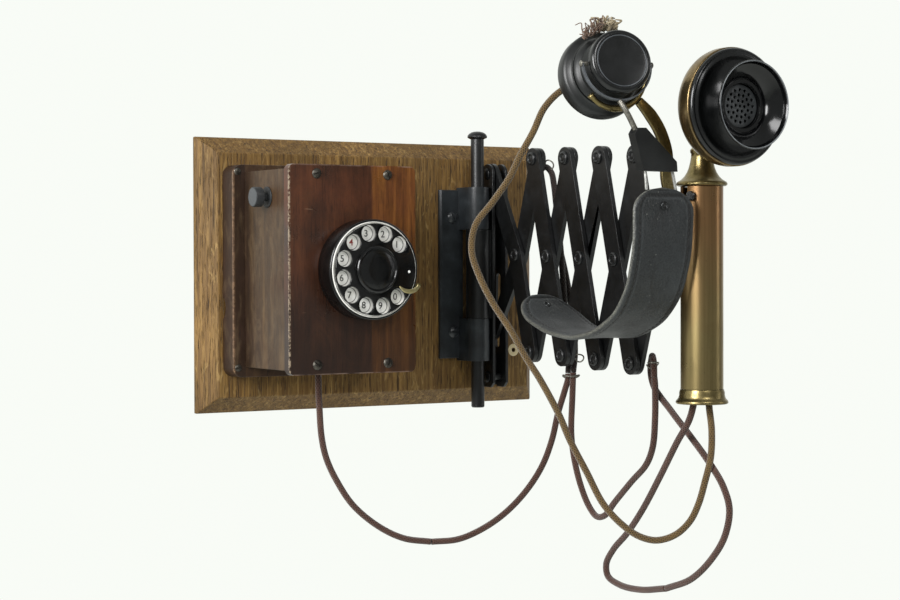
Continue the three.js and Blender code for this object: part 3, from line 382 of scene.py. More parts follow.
def black_iron(name="black_iron", low="0a0b0b", mid="131415", high="202224"):
    f = Finish(name)
    coarse = f.noise(70, 5, 0.6)
    fine = f.noise(900, 4, 0.7)
    f.base = f.ramp(coarse, (0.35, low), (0.6, mid), (0.8, high))
    dust = f.times(f.band(fine, 0.58, 0.75), f.band(coarse, 0.5, 0.75), 0.35)
    f.layer("5b5d58", dust)
    chips = f.times(f.band(f.noise(330, 3, 0.7), 0.66, 0.72), 0.5)
    f.layer("3a3a38", chips)
    f.bump(f.math("ADD", f.times(fine, 0.4), coarse), 0.3, 0.0003)
    return f.set(rough=f.ramp(fine, (0.35, 0.28), (0.7, 0.46)), spec=0.5)


def steel(name="steel", low="5d5a52", high="9a978e", stained="2f2a24"):
    f = Finish(name)
    scratch = f.noise(700, 4, 0.7, (1, 0.1, 1))
    stain = f.noise(160, 4, 0.6)
    f.base = f.ramp(scratch, (0.3, low), (0.7, high))
    f.layer(stained, f.band(stain, 0.45, 0.7), 0.8)
    f.bump(scratch, 0.2, 0.0001)
    return f.set(rough=f.ramp(stain, (0.3, 0.3), (0.75, 0.6)), metal=0.85)


def brass(name, light, mid, dark):
    f = Finish(name)
    drag = f.noise(420, 4, 0.6)
    stain = f.noise(34, 5, 0.65, warp=0.6)
    spots = f.noise(620, 3, 0.6)
    f.base = f.ramp(drag, (0.3, mid), (0.7, light))
    f.layer(dark, f.band(stain, 0.42, 0.72), 0.7)
    f.layer("1c160b", f.band(spots, 0.66, 0.74), 0.5)
    f.bump(f.math("ADD", f.times(drag, 0.4), f.times(spots, 0.2)), 0.12, 0.0002)
    return f.set(rough=f.ramp(stain, (0.35, 0.24), (0.75, 0.42)), metal=0.95)


def tube_brass():
    """Brass that has gone coppery near the top and olive lower down, brushed along its length."""
    f = Finish("tube_brass")
    drag = f.noise(700, 4, 0.6, (1, 1, 0.015))
    stain = f.noise(30, 5, 0.6, (1, 1, 0.5), warp=0.5)
    spots = f.noise(700, 3, 0.6, (1, 1, 0.6))
    height = f.math("MULTIPLY_ADD", f.math("SUBTRACT", stain, 0.5), 0.09, f.axis("Z"))
    olive = f.ramp(drag, (0.3, "7b6d48"), (0.7, "8b7b55"))
    copper = f.ramp(drag, (0.3, "7f6142"), (0.7, "906f4c"))
    f.base = f.mix(f.band(height, -0.04, 0.035), olive, copper)
    f.layer("5c5032", f.band(stain, 0.5, 0.75), 0.45)
    f.layer("2a2212", f.band(spots, 0.66, 0.74), 0.35)
    f.bump(drag, 0.06, 0.0001)
    return f.set(rough=f.ramp(stain, (0.3, 0.26), (0.75, 0.4)), metal=0.95)


def hard_rubber(name="hard_rubber", low="070808", high="101112", shine=0.12):
    f = Finish(name)
    cloud = f.noise(60, 4, 0.6)
    scratch = f.noise(1400, 3, 0.7, (1, 0.15, 1))
    dust = f.band(f.noise(2600, 2, 0.6), 0.7, 0.78)
    f.base = f.ramp(cloud, (0.35, low), (0.7, high))
    f.layer("55554f", dust, 0.15)
    rough = f.math("ADD", f.times(scratch, 0.1), f.ramp(cloud, (0.3, shine), (0.7, shine + 0.08)))
    f.bump(scratch, 0.04, 0.0001)
    return f.set(rough=rough, spec=0.5)


def enamel():
    f = Finish("white_enamel")
    cloud = f.noise(90, 4, 0.6)
    specks = f.band(f.noise(1600, 2, 0.6), 0.7, 0.78)
    f.base = f.ramp(cloud, (0.3, "eceae2"), (0.7, "fbfaf6"))
    f.layer("8d8776", specks, 0.5)
    f.bump(cloud, 0.1, 0.0002)
    return f.set(rough=f.ramp(cloud, (0.3, 0.2), (0.7, 0.32)), spec=0.5, coat=0.3)


def ink(name, code):
    f = Finish(name)
    f.base = f.ramp(f.noise(900, 3, 0.6), (0.35, code), (0.8, tuple(c + 0.05 for c in linear(code))))
    return f.set(rough=f.ramp(f.noise(600, 2), (0.3, 0.3), (0.7, 0.45)))


def leather():
    """Black leather; each mesh point stores how far it lies from the pad's rim, in millimetres."""
    f = Finish("leather")
    rim = f.stored("rim")
    grain = f.cells(620)
    fine = f.noise(1500, 4, 0.7)
    crease = f.noise(75, 6, 0.7, (1, 0.4, 0.4), warp=1.2)
    cloud = f.noise(26, 4, 0.6)
    scuff = f.noise(48, 5, 0.7, (1, 0.5, 0.5), warp=0.8)
    f.base = f.ramp(cloud, (0.32, "0f1112"), (0.55, "1b1e20"), (0.72, "2c3032"))
    f.layer("3c4144", f.band(scuff, 0.55, 0.72), 0.45)
    f.layer("3e4243", f.band(grain, 0.3, 0.6), 0.2)
    # Painted shade: darker along the creases.
    f.layer("0a0a0b", f.band(crease, 0.58, 0.66), 0.5)
    specks = f.band(f.noise(430, 2, 0.5), 0.72, 0.75)
    f.layer("8b8c86", specks, 0.6)
    # Painted shade: darker in the stitch groove.
    groove = f.times(f.band(rim, 3.4, 4.4), f.band(rim, 6.6, 5.6), 0.85)
    f.layer("050606", groove)
    ridge = f.times(f.band(rim, 6.4, 6.9), f.band(rim, 8.4, 7.4), f.band(fine, 0.4, 0.6), 0.4)
    f.layer("4b4f51", ridge)
    rubbed = f.times(f.band(rim, 1.4, 0.2), f.band(fine, 0.4, 0.58), 0.75)
    f.layer("7b7a70", rubbed)
    height = f.math("ADD", f.times(grain, 0.5), f.times(fine, 0.3))
    height = f.math("SUBTRACT", height, f.times(f.band(crease, 0.56, 0.68), 0.8))
    height = f.math("ADD", height, f.times(scuff, 1.2))
    f.bump(height, 0.6, 0.0007)
    return f.set(rough=f.ramp(cloud, (0.3, 0.38), (0.75, 0.55)), spec=0.5, sheen=0.06, sheen_rough=0.4)


def thread(name, dark, light):
    f = Finish(name)
    strand = f.noise(2600, 3, 0.7, (0.3, 1, 1))
    f.base = f.ramp(strand, (0.3, dark), (0.7, light))
    f.bump(strand, 0.4, 0.0001)
    return f.set(rough=f.ramp(strand, (0.3, 0.7), (0.7, 0.9)), sheen=0.3, sheen_rough=0.5)


def braid(name, dark, mid, light):
    """Braided cotton: two sets of threads wound opposite ways. U runs along the cord and V round it."""
    f = Finish(name)
    waves = []
    for lean in (1, -1):
        split = f.node("ShaderNodeSeparateXYZ")
        f.link(f.place(uv=True), split.inputs["Vector"])
        turns = f.math("MULTIPLY", split.outputs["Y"], 2 * pi * 8)
        along = f.math("MULTIPLY", split.outputs["X"], lean * 2 * pi * 5)
        waves.append(f.math("SINE", f.math("ADD", turns, along)))
    weave = f.math("MAXIMUM", waves[0], waves[1])
    cross = f.math("MULTIPLY", waves[0], waves[1])
    fuzz = f.noise(2400, 3, 0.7)
    wear = f.noise(60, 4, 0.65)
    f.base = f.ramp(f.math("MULTIPLY_ADD", weave, 0.4, 0.5), (0.25, dark), (0.6, mid), (0.95, light))
    f.layer(dark, f.band(cross, 0.3, 0.9))
    f.layer(light, f.band(wear, 0.5, 0.75), 0.45)
    f.layer(mid, fuzz, 0.3)
    f.bump(f.math("ADD", weave, f.math("MULTIPLY", fuzz, 0.5)), 0.7, 0.0004)
    return f.set(rough=f.ramp(fuzz, (0.3, 0.72), (0.7, 0.92)), spec=0.25, sheen=0.3, sheen_rough=0.5)


def button_black():
    f = Finish("button_black")
    cloud = f.noise(120, 5, 0.6)
    face = f.band(f.axis("X"), -0.1478, -0.1484)
    f.base = f.ramp(cloud, (0.3, "1b1c1d"), (0.7, "303234"))
    f.layer("5d6063", face, 0.8)
    f.bump(f.noise(1500, 4, 0.7), 0.3, 0.0002)
    return f.set(rough=f.ramp(cloud, (0.3, 0.42), (0.7, 0.6)), spec=0.4)


# ---- pieces --------------------------------------------------------------------------------------
# Points closer than WELD metres are one point, and faces within FLAT degrees of each other are one face.
WELD = 2e-6
FLAT = 0.8
CRISP = 38


def add_piece(name, mesh, material, body=None, replaces=()):
    mesh.materials.clear()
    mesh.materials.append(material)
    piece = bpy.data.objects.new(name, mesh)
    show(piece)
    if body:
        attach(piece, body)
    if replaces:
        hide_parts(*replaces)
    return piece


def stand_in(node, name, mesh, material):
    """A piece that takes a CAD node's place, with its body."""
    return add_piece(name, mesh, material, BODY_OF[node], [node])


def soften(piece, width, segments=2, angle=CRISP):
    """Rounds the piece's crisp edges."""
    bevel = piece.modifiers.new("rounded_edges", "BEVEL")
    bevel.width = width * MM
    bevel.segments = segments
    bevel.limit_method = "ANGLE"
    bevel.angle_limit = radians(angle)
    bevel.harden_normals = True
    bevel.use_clamp_overlap = True


def to_mesh(name, bm, angle=CRISP):
    """Smooth faces, with edges sharper than angle kept crisp."""
    for face in bm.faces:
        face.smooth = True
    for edge in bm.edges:
        if len(edge.link_faces) == 2:
            edge.smooth = edge.calc_face_angle(0) < radians(angle)
    mesh = bpy.data.meshes.new(name)
    bm.to_mesh(mesh)
    bm.free()
    return mesh


def cleaned(node):
    """A CAD node's own shape with its flat faces joined up."""
    bm = bmesh.new()
    bm.from_mesh(frame["nodes"][node].data)
    bmesh.ops.remove_doubles(bm, verts=bm.verts, dist=WELD)
    bmesh.ops.dissolve_limit(bm, angle_limit=radians(FLAT), verts=bm.verts, edges=bm.edges)
    return bm


def refined(node, material, width=0.4, segments=2):
    """A CAD node's own shape with clean faces and rounded edges."""
    name = node + "_finish"
    piece = stand_in(node, name, to_mesh(name, cleaned(node)), material)
    if width:
        soften(piece, width, segments)
    return piece


def lathe(name, profile, origin, direction, material, node=None, body=None, slot=None, sides=96, width=0.3,
          angle=CRISP):
    """Turns (radius, height) points about an axis, with heights along direction."""
    bm = bmesh.new()
    rings = []
    for radius, height in profile:
        if radius < 1e-6:
            rings.append([bm.verts.new((0, 0, height * MM))])
        else:
            ring = circle(0, 0, radius, sides)
            rings.append([bm.verts.new((x * MM, y * MM, height * MM)) for x, y in ring])
    closed = profile[0][0] > 1e-6
    pairs = list(zip(rings, rings[1:] + ([rings[0]] if closed else [])))
    for low, high in pairs:
        for k in range(sides):
            n = (k + 1) % sides
            if len(low) == 1:
                bm.faces.new((low[0], high[n], high[k]))
            elif len(high) == 1:
                bm.faces.new((low[k], low[n], high[0]))
            else:
                bm.faces.new((low[k], low[n], high[n], high[k]))
    bmesh.ops.recalc_face_normals(bm, faces=bm.faces)
    turn = Vector(direction).to_track_quat("Z", "Y").to_matrix().to_4x4()
    bm.transform(Matrix.Translation(Vector(origin) * MM) @ turn)
    mesh = to_mesh(name, bm, angle)
    piece = stand_in(node, name, mesh, material) if node else add_piece(name, mesh, material, body)
    if width:
        soften(piece, width, 3, angle)


def tangent_at(line, i):
    return (line[min(i + 1, len(line) - 1)] - line[max(i - 1, 0)]).normalized()


def curve_points(points, spacing):
    """Centripetal Catmull-Rom curve through points, in steps of about spacing."""
    pts = [Vector(p) for p in points]
    pts = [pts[0] * 2 - pts[1]] + pts + [pts[-1] * 2 - pts[-2]]
    line = []
    for i in range(1, len(pts) - 2):
        p0, p1, p2, p3 = pts[i - 1:i + 3]
        t1 = (p1 - p0).length ** 0.5
        t2 = t1 + (p2 - p1).length ** 0.5
        t3 = t2 + (p3 - p2).length ** 0.5
        steps = max(2, ceil((p2 - p1).length / spacing))
        for k in range(steps):
            t = t1 + (t2 - t1) * k / steps
            a1 = p0 * ((t1 - t) / t1) + p1 * (t / t1)
            a2 = p1 * ((t2 - t) / (t2 - t1)) + p2 * ((t - t1) / (t2 - t1))
            a3 = p2 * ((t3 - t) / (t3 - t2)) + p3 * ((t - t2) / (t3 - t2))
            b1 = a1 * ((t2 - t) / t2) + a2 * (t / t2)
            b2 = a2 * ((t3 - t) / (t3 - t1)) + a3 * ((t - t1) / (t3 - t1))
            line.append(b1 * ((t2 - t) / (t2 - t1)) + b2 * ((t - t1) / (t2 - t1)))
    line.append(pts[-2])
    return line


def sweep_mesh(name, line, radius, sides=16, angle=60):
    """Closed tube along a line of points, with U along it and V round it, both per turn of its girth."""
    radius_at = radius if callable(radius) else lambda t: radius
    bm = bmesh.new()
    uv = bm.loops.layers.uv.new("UVMap")
    tangents = [tangent_at(line, i) for i in range(len(line))]
    side = tangents[0].orthogonal().normalized()
    rings, lengths, run = [], [], 0.0
    for i, (point, tangent) in enumerate(zip(line, tangents)):
        if i:
            run += (point - line[i - 1]).length
            side = (side - tangent * side.dot(tangent)).normalized()
        other = tangent.cross(side)
        spots = circle(0, 0, radius_at(i / (len(line) - 1)), sides)
        rings.append([bm.verts.new((point + side * x + other * y) * MM) for x, y in spots])
        lengths.append(run)
    girth = 2 * pi * radius_at(0.5)
    for i in range(len(rings) - 1):
        for k in range(sides):
            n = (k + 1) % sides
            face = bm.faces.new((rings[i][k], rings[i][n], rings[i + 1][n], rings[i + 1][k]))
            spots = ((i, k), (i, k + 1), (i + 1, k + 1), (i + 1, k))
            for loop, (row, column) in zip(face.loops, spots):
                loop[uv].uv = (lengths[row] / girth, column / sides)
    bm.faces.new(list(reversed(rings[0])))
    bm.faces.new(rings[-1])
    return to_mesh(name, bm, angle)


def band_mesh(name, line, across, width, thickness):
    """A flat strip bent along a line; across is the direction of its width."""
    bm = bmesh.new()
    section = ((-1, -0.8), (-0.8, -1), (0.8, -1), (1, -0.8), (1, 0.8), (0.8, 1), (-0.8, 1), (-1, 0.8))
    rings = []
    for i, point in enumerate(line):
        normal = tangent_at(line, i).cross(across).normalized()
        ring = []
        for side, height in section:
            spot = point + across * side * width / 2 + normal * height * thickness / 2
            ring.append(bm.verts.new(spot * MM))
        rings.append(ring)
    for a, b in zip(rings, rings[1:]):
        for k in range(8):
            bm.faces.new((a[k], a[(k + 1) % 8], b[(k + 1) % 8], b[k]))
    bm.faces.new(rings[0])
    bm.faces.new(list(reversed(rings[-1])))
    bmesh.ops.recalc_face_normals(bm, faces=bm.faces)
    return to_mesh(name, bm, 30)


def curve_mesh(data):
    """The mesh of a curve or a text, which is then removed."""
    carrier = bpy.data.objects.new(data.name, data)
    show(carrier)
    mesh = bpy.data.meshes.new_from_object(carrier.evaluated_get(bpy.context.evaluated_depsgraph_get()))
    bpy.data.objects.remove(carrier)
    return mesh


def plate_mesh(name, loops, thickness, rounding=0.3):
    """A flat plate with holes: each loop is a closed outline of points in the plate's x and y."""
    data = bpy.data.curves.new(name, "CURVE")
    data.dimensions = "2D"
    data.fill_mode = "BOTH"
    data.extrude = (thickness / 2 - rounding) * MM
    data.bevel_depth = rounding * MM
    data.bevel_resolution = 2
    data.offset = -rounding * MM
    for points in loops:
        spline = data.splines.new("POLY")
        spline.points.add(len(points) - 1)
        for point, (x, y) in zip(spline.points, points):
            point.co = (x * MM, y * MM, 0, 1)
        spline.use_cyclic_u = True
    bm = bmesh.new()
    bm.from_mesh(curve_mesh(data))
    bmesh.ops.remove_doubles(bm, verts=bm.verts, dist=1e-6)
    return to_mesh(name, bm, 40)


def circle(x, y, r, count=48):
    return [(x + r * cos(2 * pi * k / count), y + r * sin(2 * pi * k / count)) for k in range(count)]


def arc(x, y, r, start, end, steps):
    """Points from start to end degrees, both included."""
    angles = [radians(start + (end - start) * k / steps) for k in range(steps + 1)]
    return [(x + r * cos(a), y + r * sin(a)) for a in angles]


def ribbon(points, widths):
    """Outline of a strip along a smooth line whose width changes from point to point."""
    line = curve_points([(x, y, 0) for x, y in points], 1.5)
    left, right = [], []
    for i, p in enumerate(line):
        t = tangent_at(line, i)
        share = i / (len(line) - 1) * (len(widths) - 1)
        k = min(int(share), len(widths) - 2)
        half = (widths[k] + (widths[k + 1] - widths[k]) * (share - k)) / 2
        left.append((p.x - t.y * half, p.y + t.x * half))
        right.insert(0, (p.x + t.y * half, p.y - t.x * half))
    return left + right


# A plate drawn in x and y stands up to face the room: y becomes Z, and its front looks along -Y.
FACE_ROOM = Matrix.Rotation(pi / 2, 4, "X")
TO_ROOM = (0, -1, 0)


def stand(mesh, x, y, z):
    mesh.transform(Matrix.Translation(Vector((x, y, z)) * MM) @ FACE_ROOM)
    return mesh


# ---- finishes in use -----------------------------------------------------------------------------
OAK = oak()
BOX_FRONT = box_front()
BOX_SIDE = box_side()
IRON = black_iron()
# Painted light: the bars' black iron, made lighter for the hinge leaf and its screws, which face the light.
LIT_LEAF_IRON = black_iron("painted_light_leaf_iron", "1b1e20", "282c2f", "3d4246")
STEEL = steel()
DARK_STEEL = steel("dark_steel", "35322d", "6a665e", "1c1815")
BRIGHT_WIRE = steel("bright_wire", "a9a9a6", "dededa", "74736c")
# Painted highlight: grey for the thin ring on the mouthpiece's rim.
LIP_HIGHLIGHT_GREY = hard_rubber("lip_painted_highlight", "5a5d60", "84888b", 0.15)
# Painted highlight: black hard rubber made grey, so the receiver's strap and the ring on its cap show glints of
# light.
GLINT_GREY_BLACK = hard_rubber("painted_glint_black", "33363a", "54585c", 0.3)
TUBE_BRASS = tube_brass()
BRASS = brass("aged_brass", "94855c", "766944", "4f4529")
CREAM_BRASS = brass("cream_brass", "e6dcae", "c9bc86", "9c8c58")
DARK_BRASS = brass("dark_brass", "8f7a55", "6f5e42", "453c2a")
RUBBER = hard_rubber()
DIAL_BLACK = hard_rubber("dial_black", "050506", "0c0d0d", 0.08)
EAR_BLACK = hard_rubber("ear_black", "0b0c0c", "161818", 0.3)
BELL_BLACK = hard_rubber("bell_black", "030304", "08090a", 0.05)
ENAMEL = enamel()
BLACK_INK = ink("black_ink", "1b1b1b")
RED_INK = ink("red_ink", "8d2b23")
LEATHER = leather()
EYELET = brass("dark_eyelet", "5b5d5e", "3b3c3d", "1c1c1c")
STITCH = thread("stitch_thread", "040404", "141414")
FRAY = thread("frayed_cotton", "5a4a33", "b7a98a")
FRAY_BROWN = thread("frayed_brown", "3a271c", "7d6350")
BROWN_BRAID = braid("brown_braid", "1d100d", "3b221b", "644638")
OLIVE_BRAID = braid("olive_braid", "241a0e", "4a381f", "7b6236")
BUTTON = button_black()
HOLE_DARK = ink("hole_shadow", "050505")
GRILLE_BLACK = hard_rubber("grille_black", "26282a", "46494b", 0.25)
# Painted shade: a darker copy of the brown braid, for the riser that runs in shadow between the bars.
SHADED_BRAID = braid("painted_shade_braid", "0b0706", "1a110e", "35251d")


# ---- cords ---------------------------------------------------------------------------------------
# Middle lines of the cords, through the same points as in the CAD.
CORD_R = 2.6
CORD_STEP = 1.6
WALL_LOW = (-6, -110, -214)
WALL_A = [
    (-94, -85, -71.3), (-93.8, -85, -90), (-93.2, -85.4, -106), (-91.6, -85.8, -128), (-88, -87, -145),
    (-80, -89.4, -163), (-67, -93, -183), (-46, -98.6, -201), (-27, -104.2, -210.5), WALL_LOW,
]
WALL_B = [
    (-5.2, -110.2, -214.1), (16, -116, -213), (35, -121, -206), (54, -126, -194), (72, -130, -177),
    (87, -132, -157), (97, -132, -136), (104, -131, -114), (110, -131.4, -97), (113.6, -131.6, -86),
    (113.8, -131.6, -81.8),
]
RISER = [
    (113.9, -131.6, -81.2), (115.4, -130.4, -70), (115.4, -125, -30), (115.4, -119, 20), (115.4, -112, 60),
    (115.4, -109.4, 74), (115.4, -105.6, 84.5), (115.4, -96.5, 89.5), (115.4, -87.4, 84.5),
    (115.4, -85.4, 74), (116.2, -92, 58), (121, -108, 24), (121.6, -126, -30), (118, -135.4, -64),
    (114.6, -137.6, -80),
]
ARM = [
    (114.5, -137.7, -80.6), (114.2, -137, -100), (114, -135.6, -130), (114, -139, -149), (114, -148, -171),
    (114, -160, -188), (114, -171, -195.5), (114, -182, -193.5), (114, -195, -182), (114, -218, -163),
    (114, -237, -148), (114, -245, -134), (114, -248, -112), (114, -248, -86), (114.4, -246.6, -80),
]
MAST_A = [
    (114.5, -246.3, -79.7), (114.8, -245.7, -72), (116.2, -243.2, -66.6), (119.6, -237.3, -63.6),
    (122.8, -232, -66.4), (124.2, -229, -73), (123.8, -230.5, -81), (122.6, -236, -88.5),
    (121, -246, -95.5), (119.2, -258, -102.5), (116.4, -273, -111), (114.2, -294, -124.5),
    (113, -316, -141), (112, -333, -157), (111.6, -340.5, -173), (111, -336, -193),
    (110.4, -320, -213), (110, -297, -230), (109.6, -268, -240.6),
]
MAST_B = [
    (109.6, -267.2, -240.8), (109, -236, -245.8), (108.6, -209, -245.4), (108, -194, -240),
    (107.6, -192.6, -231), (107, -203, -218), (106.4, -222, -203), (105, -244, -182), (103, -268, -155),
    (101.4, -291, -127), (101, -307, -108), (101.2, -313, -92), (101.4, -314, -84),
]
RECEIVER = [
    (20, -282, 141), (11, -271, 136.5), (2, -261, 124), (-3, -253, 106), (-11, -247, 88), (-17, -242, 72),
    (-27, -235, 54.5), (-38, -228, 37), (-40, -226, 18), (-36, -229, 1), (-27, -235, -21), (-16, -242, -41),
    (-6, -247, -61), (3, -253, -78), (15, -260, -104), (22, -264, -123), (33, -270, -147), (44, -276, -171),
    (55, -284, -186), (66, -291, -195), (77, -298, -198), (89, -305, -194), (98, -311, -184),
    (103, -315, -171), (106, -319, -154), (109, -322, -136), (110, -322, -116), (109.2, -320, -98),
    (108.8, -319.6, -84),
]


def make_cord(node, route, material, bodies=None):
    """A braided cord along its CAD route; one that joins two bodies is left unattached, and one that rides on a
    single body goes with it.
    """
    line = curve_points(route, CORD_STEP)
    name = node + "_braided"
    piece = add_piece(name, sweep_mesh(name, line, CORD_R - 0.05, 14), material)
    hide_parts(node)
    if bodies:
        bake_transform(piece)
    else:
        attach(piece, BODY_OF[node])


def make_cords():
    make_cord("cord_wall_a", WALL_A, BROWN_BRAID, ("wall_unit", "gate"))
    make_cord("cord_wall_b", WALL_B, BROWN_BRAID, ("gate", "cord_tie"))
    # Painted shade: the riser is the same brown cord, darkened where it runs between the bars.
    make_cord("cord_riser", RISER, SHADED_BRAID)
    make_cord("cord_arm", ARM, BROWN_BRAID, ("arm_b3", "arm_a4"))
    make_cord("cord_mast_a", MAST_A, BROWN_BRAID, ("arm_b5", "end_joint"))
    make_cord("cord_mast_b", MAST_B, BROWN_BRAID, ("end_joint", "mast"))
    make_cord("cord_receiver", RECEIVER, OLIVE_BRAID, ("mast", "receiver"))


def wire_ring(name, body, centre, radius, normal, wire):
    """An open wire ring that holds the cord."""
    turn = Vector(normal).to_track_quat("Z", "Y").to_matrix()
    line = []
    for k in range(41):
        a = radians(20 + 320 * k / 40)
        line.append(Vector(centre) + turn @ Vector((radius * cos(a), radius * sin(a), 0.8 * cos(2 * a))))
    return add_piece(name, sweep_mesh(name, line, wire, 10), STEEL, body)


def make_rings():
    ring = wire_ring("cord_ring_wire", "cord_tie", centre_of("cord_ring"), 6.8, (0.1, 0.15, 1), 0.8)
    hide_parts("cord_ring")
    wire_ring("ring_top", "arm_a2", (114.2, -103.6, 90.5), 4.4, (1, 0.3, 0.1), 0.6)
    wire_ring("ring_side", "arm_a2", (113.6, -146.6, -68), 4.2, (0.6, 0.4, 0.6), 0.6)
    wire_ring("ring_outer", "arm_a4", (115.2, -243.6, -70.0), 4.6, (0.2, 0.5, 0.9), 0.6)


# ---- board and box -------------------------------------------------------------------------------
def flange_screw(name, place, spin):
    """A smaller copy of a cover screw, its head at place."""
    low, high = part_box("cover_screw_1")
    head = Vector(((low.x + high.x) / 2, low.y, (low.z + high.z) / 2))
    bm = cleaned("cover_screw_1")
    turn = Matrix.Rotation(spin, 4, "Y") @ Matrix.Diagonal((0.85, 0.85, 0.85, 1))
    bm.transform(Matrix.Translation(Vector(place) * MM) @ turn @ Matrix.Translation(-head))
    soften(add_piece(name, to_mesh(name, bm), DARK_STEEL, "wall_unit"), 0.15)


FLANGE_SCREWS = ((-141, 82.6), (-141, -73.8), (-22.6, 82.6), (-22.6, -73.8))
OLD_HOLE = (134.7, -19.02, -66.4)


def make_box():
    for node, finish, width, segments in (
        ("backboard", OAK, 0.9, 3), ("box_base", BOX_SIDE, 1.8, 3), ("box_body", BOX_SIDE, 0.9, 2),
        ("box_cover", BOX_FRONT, 1.5, 3), ("terminal_block", RUBBER, 0.4, 2),
    ):
        refined(node, finish, width, segments)
    for number in range(1, 5):
        refined("cover_screw_%d" % number, DARK_STEEL, 0.2)
    front = span("box_base")[0].y
    for number, (x, z) in enumerate(FLANGE_SCREWS, 1):
        flange_screw("flange_screw_%d" % number, (x, front - 0.9, z), number * 1.1)
    # Pale wood round the old screw hole.
    lathe("old_hole_rim", [(1.9, 0), (5.4, 0), (4.9, 0.22), (2.1, 0.05)], OLD_HOLE, TO_ROOM,
          ink("bare_wood", "e0cda0"), body="wall_unit", slot="oak", sides=32, width=0)


def make_button():
    low, high = span("call_button")
    collar_low, collar_high = span("button_collar")
    y, z = (low.y + high.y) / 2, (low.z + high.z) / 2
    radius = (high.z - low.z) / 2
    shoulder, length = collar_low.x - 3.8 - low.x, high.x - low.x
    cap = [(0, 0), (radius - 1.2, 0), (radius - 0.3, 0.35), (radius, 1.2), (radius, shoulder), (3, shoulder),
           (3, length), (0, length)]
    lathe("call_button_cap", cap, (low.x, y, z), (1, 0, 0), BUTTON, "call_button", sides=64, width=0.2)
    depth = collar_high.x - collar_low.x
    ring = [(3.3, depth - 1), (7.9, depth - 1), (8.3, depth - 0.5), (8.3, depth), (3.3, depth)]
    lathe("button_seat", ring, (collar_low.x, y, z), (1, 0, 0), BUTTON, "button_collar", sides=64, width=0.2)


# ---- dial ----------------------------------------------------------------------------------------
DIAL_X, DIAL_Z = joint_at("dial_turn").x, joint_at("dial_turn").z
# Finger holes: the radius they lie on, their own radius, the first one's angle and the step between them.
HOLE_RING, HOLE_R, HOLE_FIRST, HOLE_STEP = 28.6, 6.3, 42.7, 30.0
CARD_R = (span("card_holder")[1].x - span("card_holder")[0].x) / 2
# The finger stop's middle line from the rim inwards, as (radius, degrees) on the dial, and its widths.
STOP_LINE = ((39.4, -18), (37.4, -24.5), (33.5, -30.5), (28.5, -34), (23.5, -33.5))
STOP_WIDTHS = (2.6, 3.4, 3.4, 2.8, 1.0)
WHEEL_DOT = (-44.7, 2.6)


def dial_spot(index):
    a = radians(HOLE_FIRST + HOLE_STEP * index)
    return DIAL_X + HOLE_RING * cos(a), DIAL_Z + HOLE_RING * sin(a)


def digit_mesh(name, words):
    data = bpy.data.curves.new(name + "_text", "FONT")
    data.body = words
    data.size = 7.4 * MM
    data.extrude = 0.06 * MM
    data.align_x = data.align_y = "CENTER"
    data.offset = 0.05 * MM
    return curve_mesh(data)


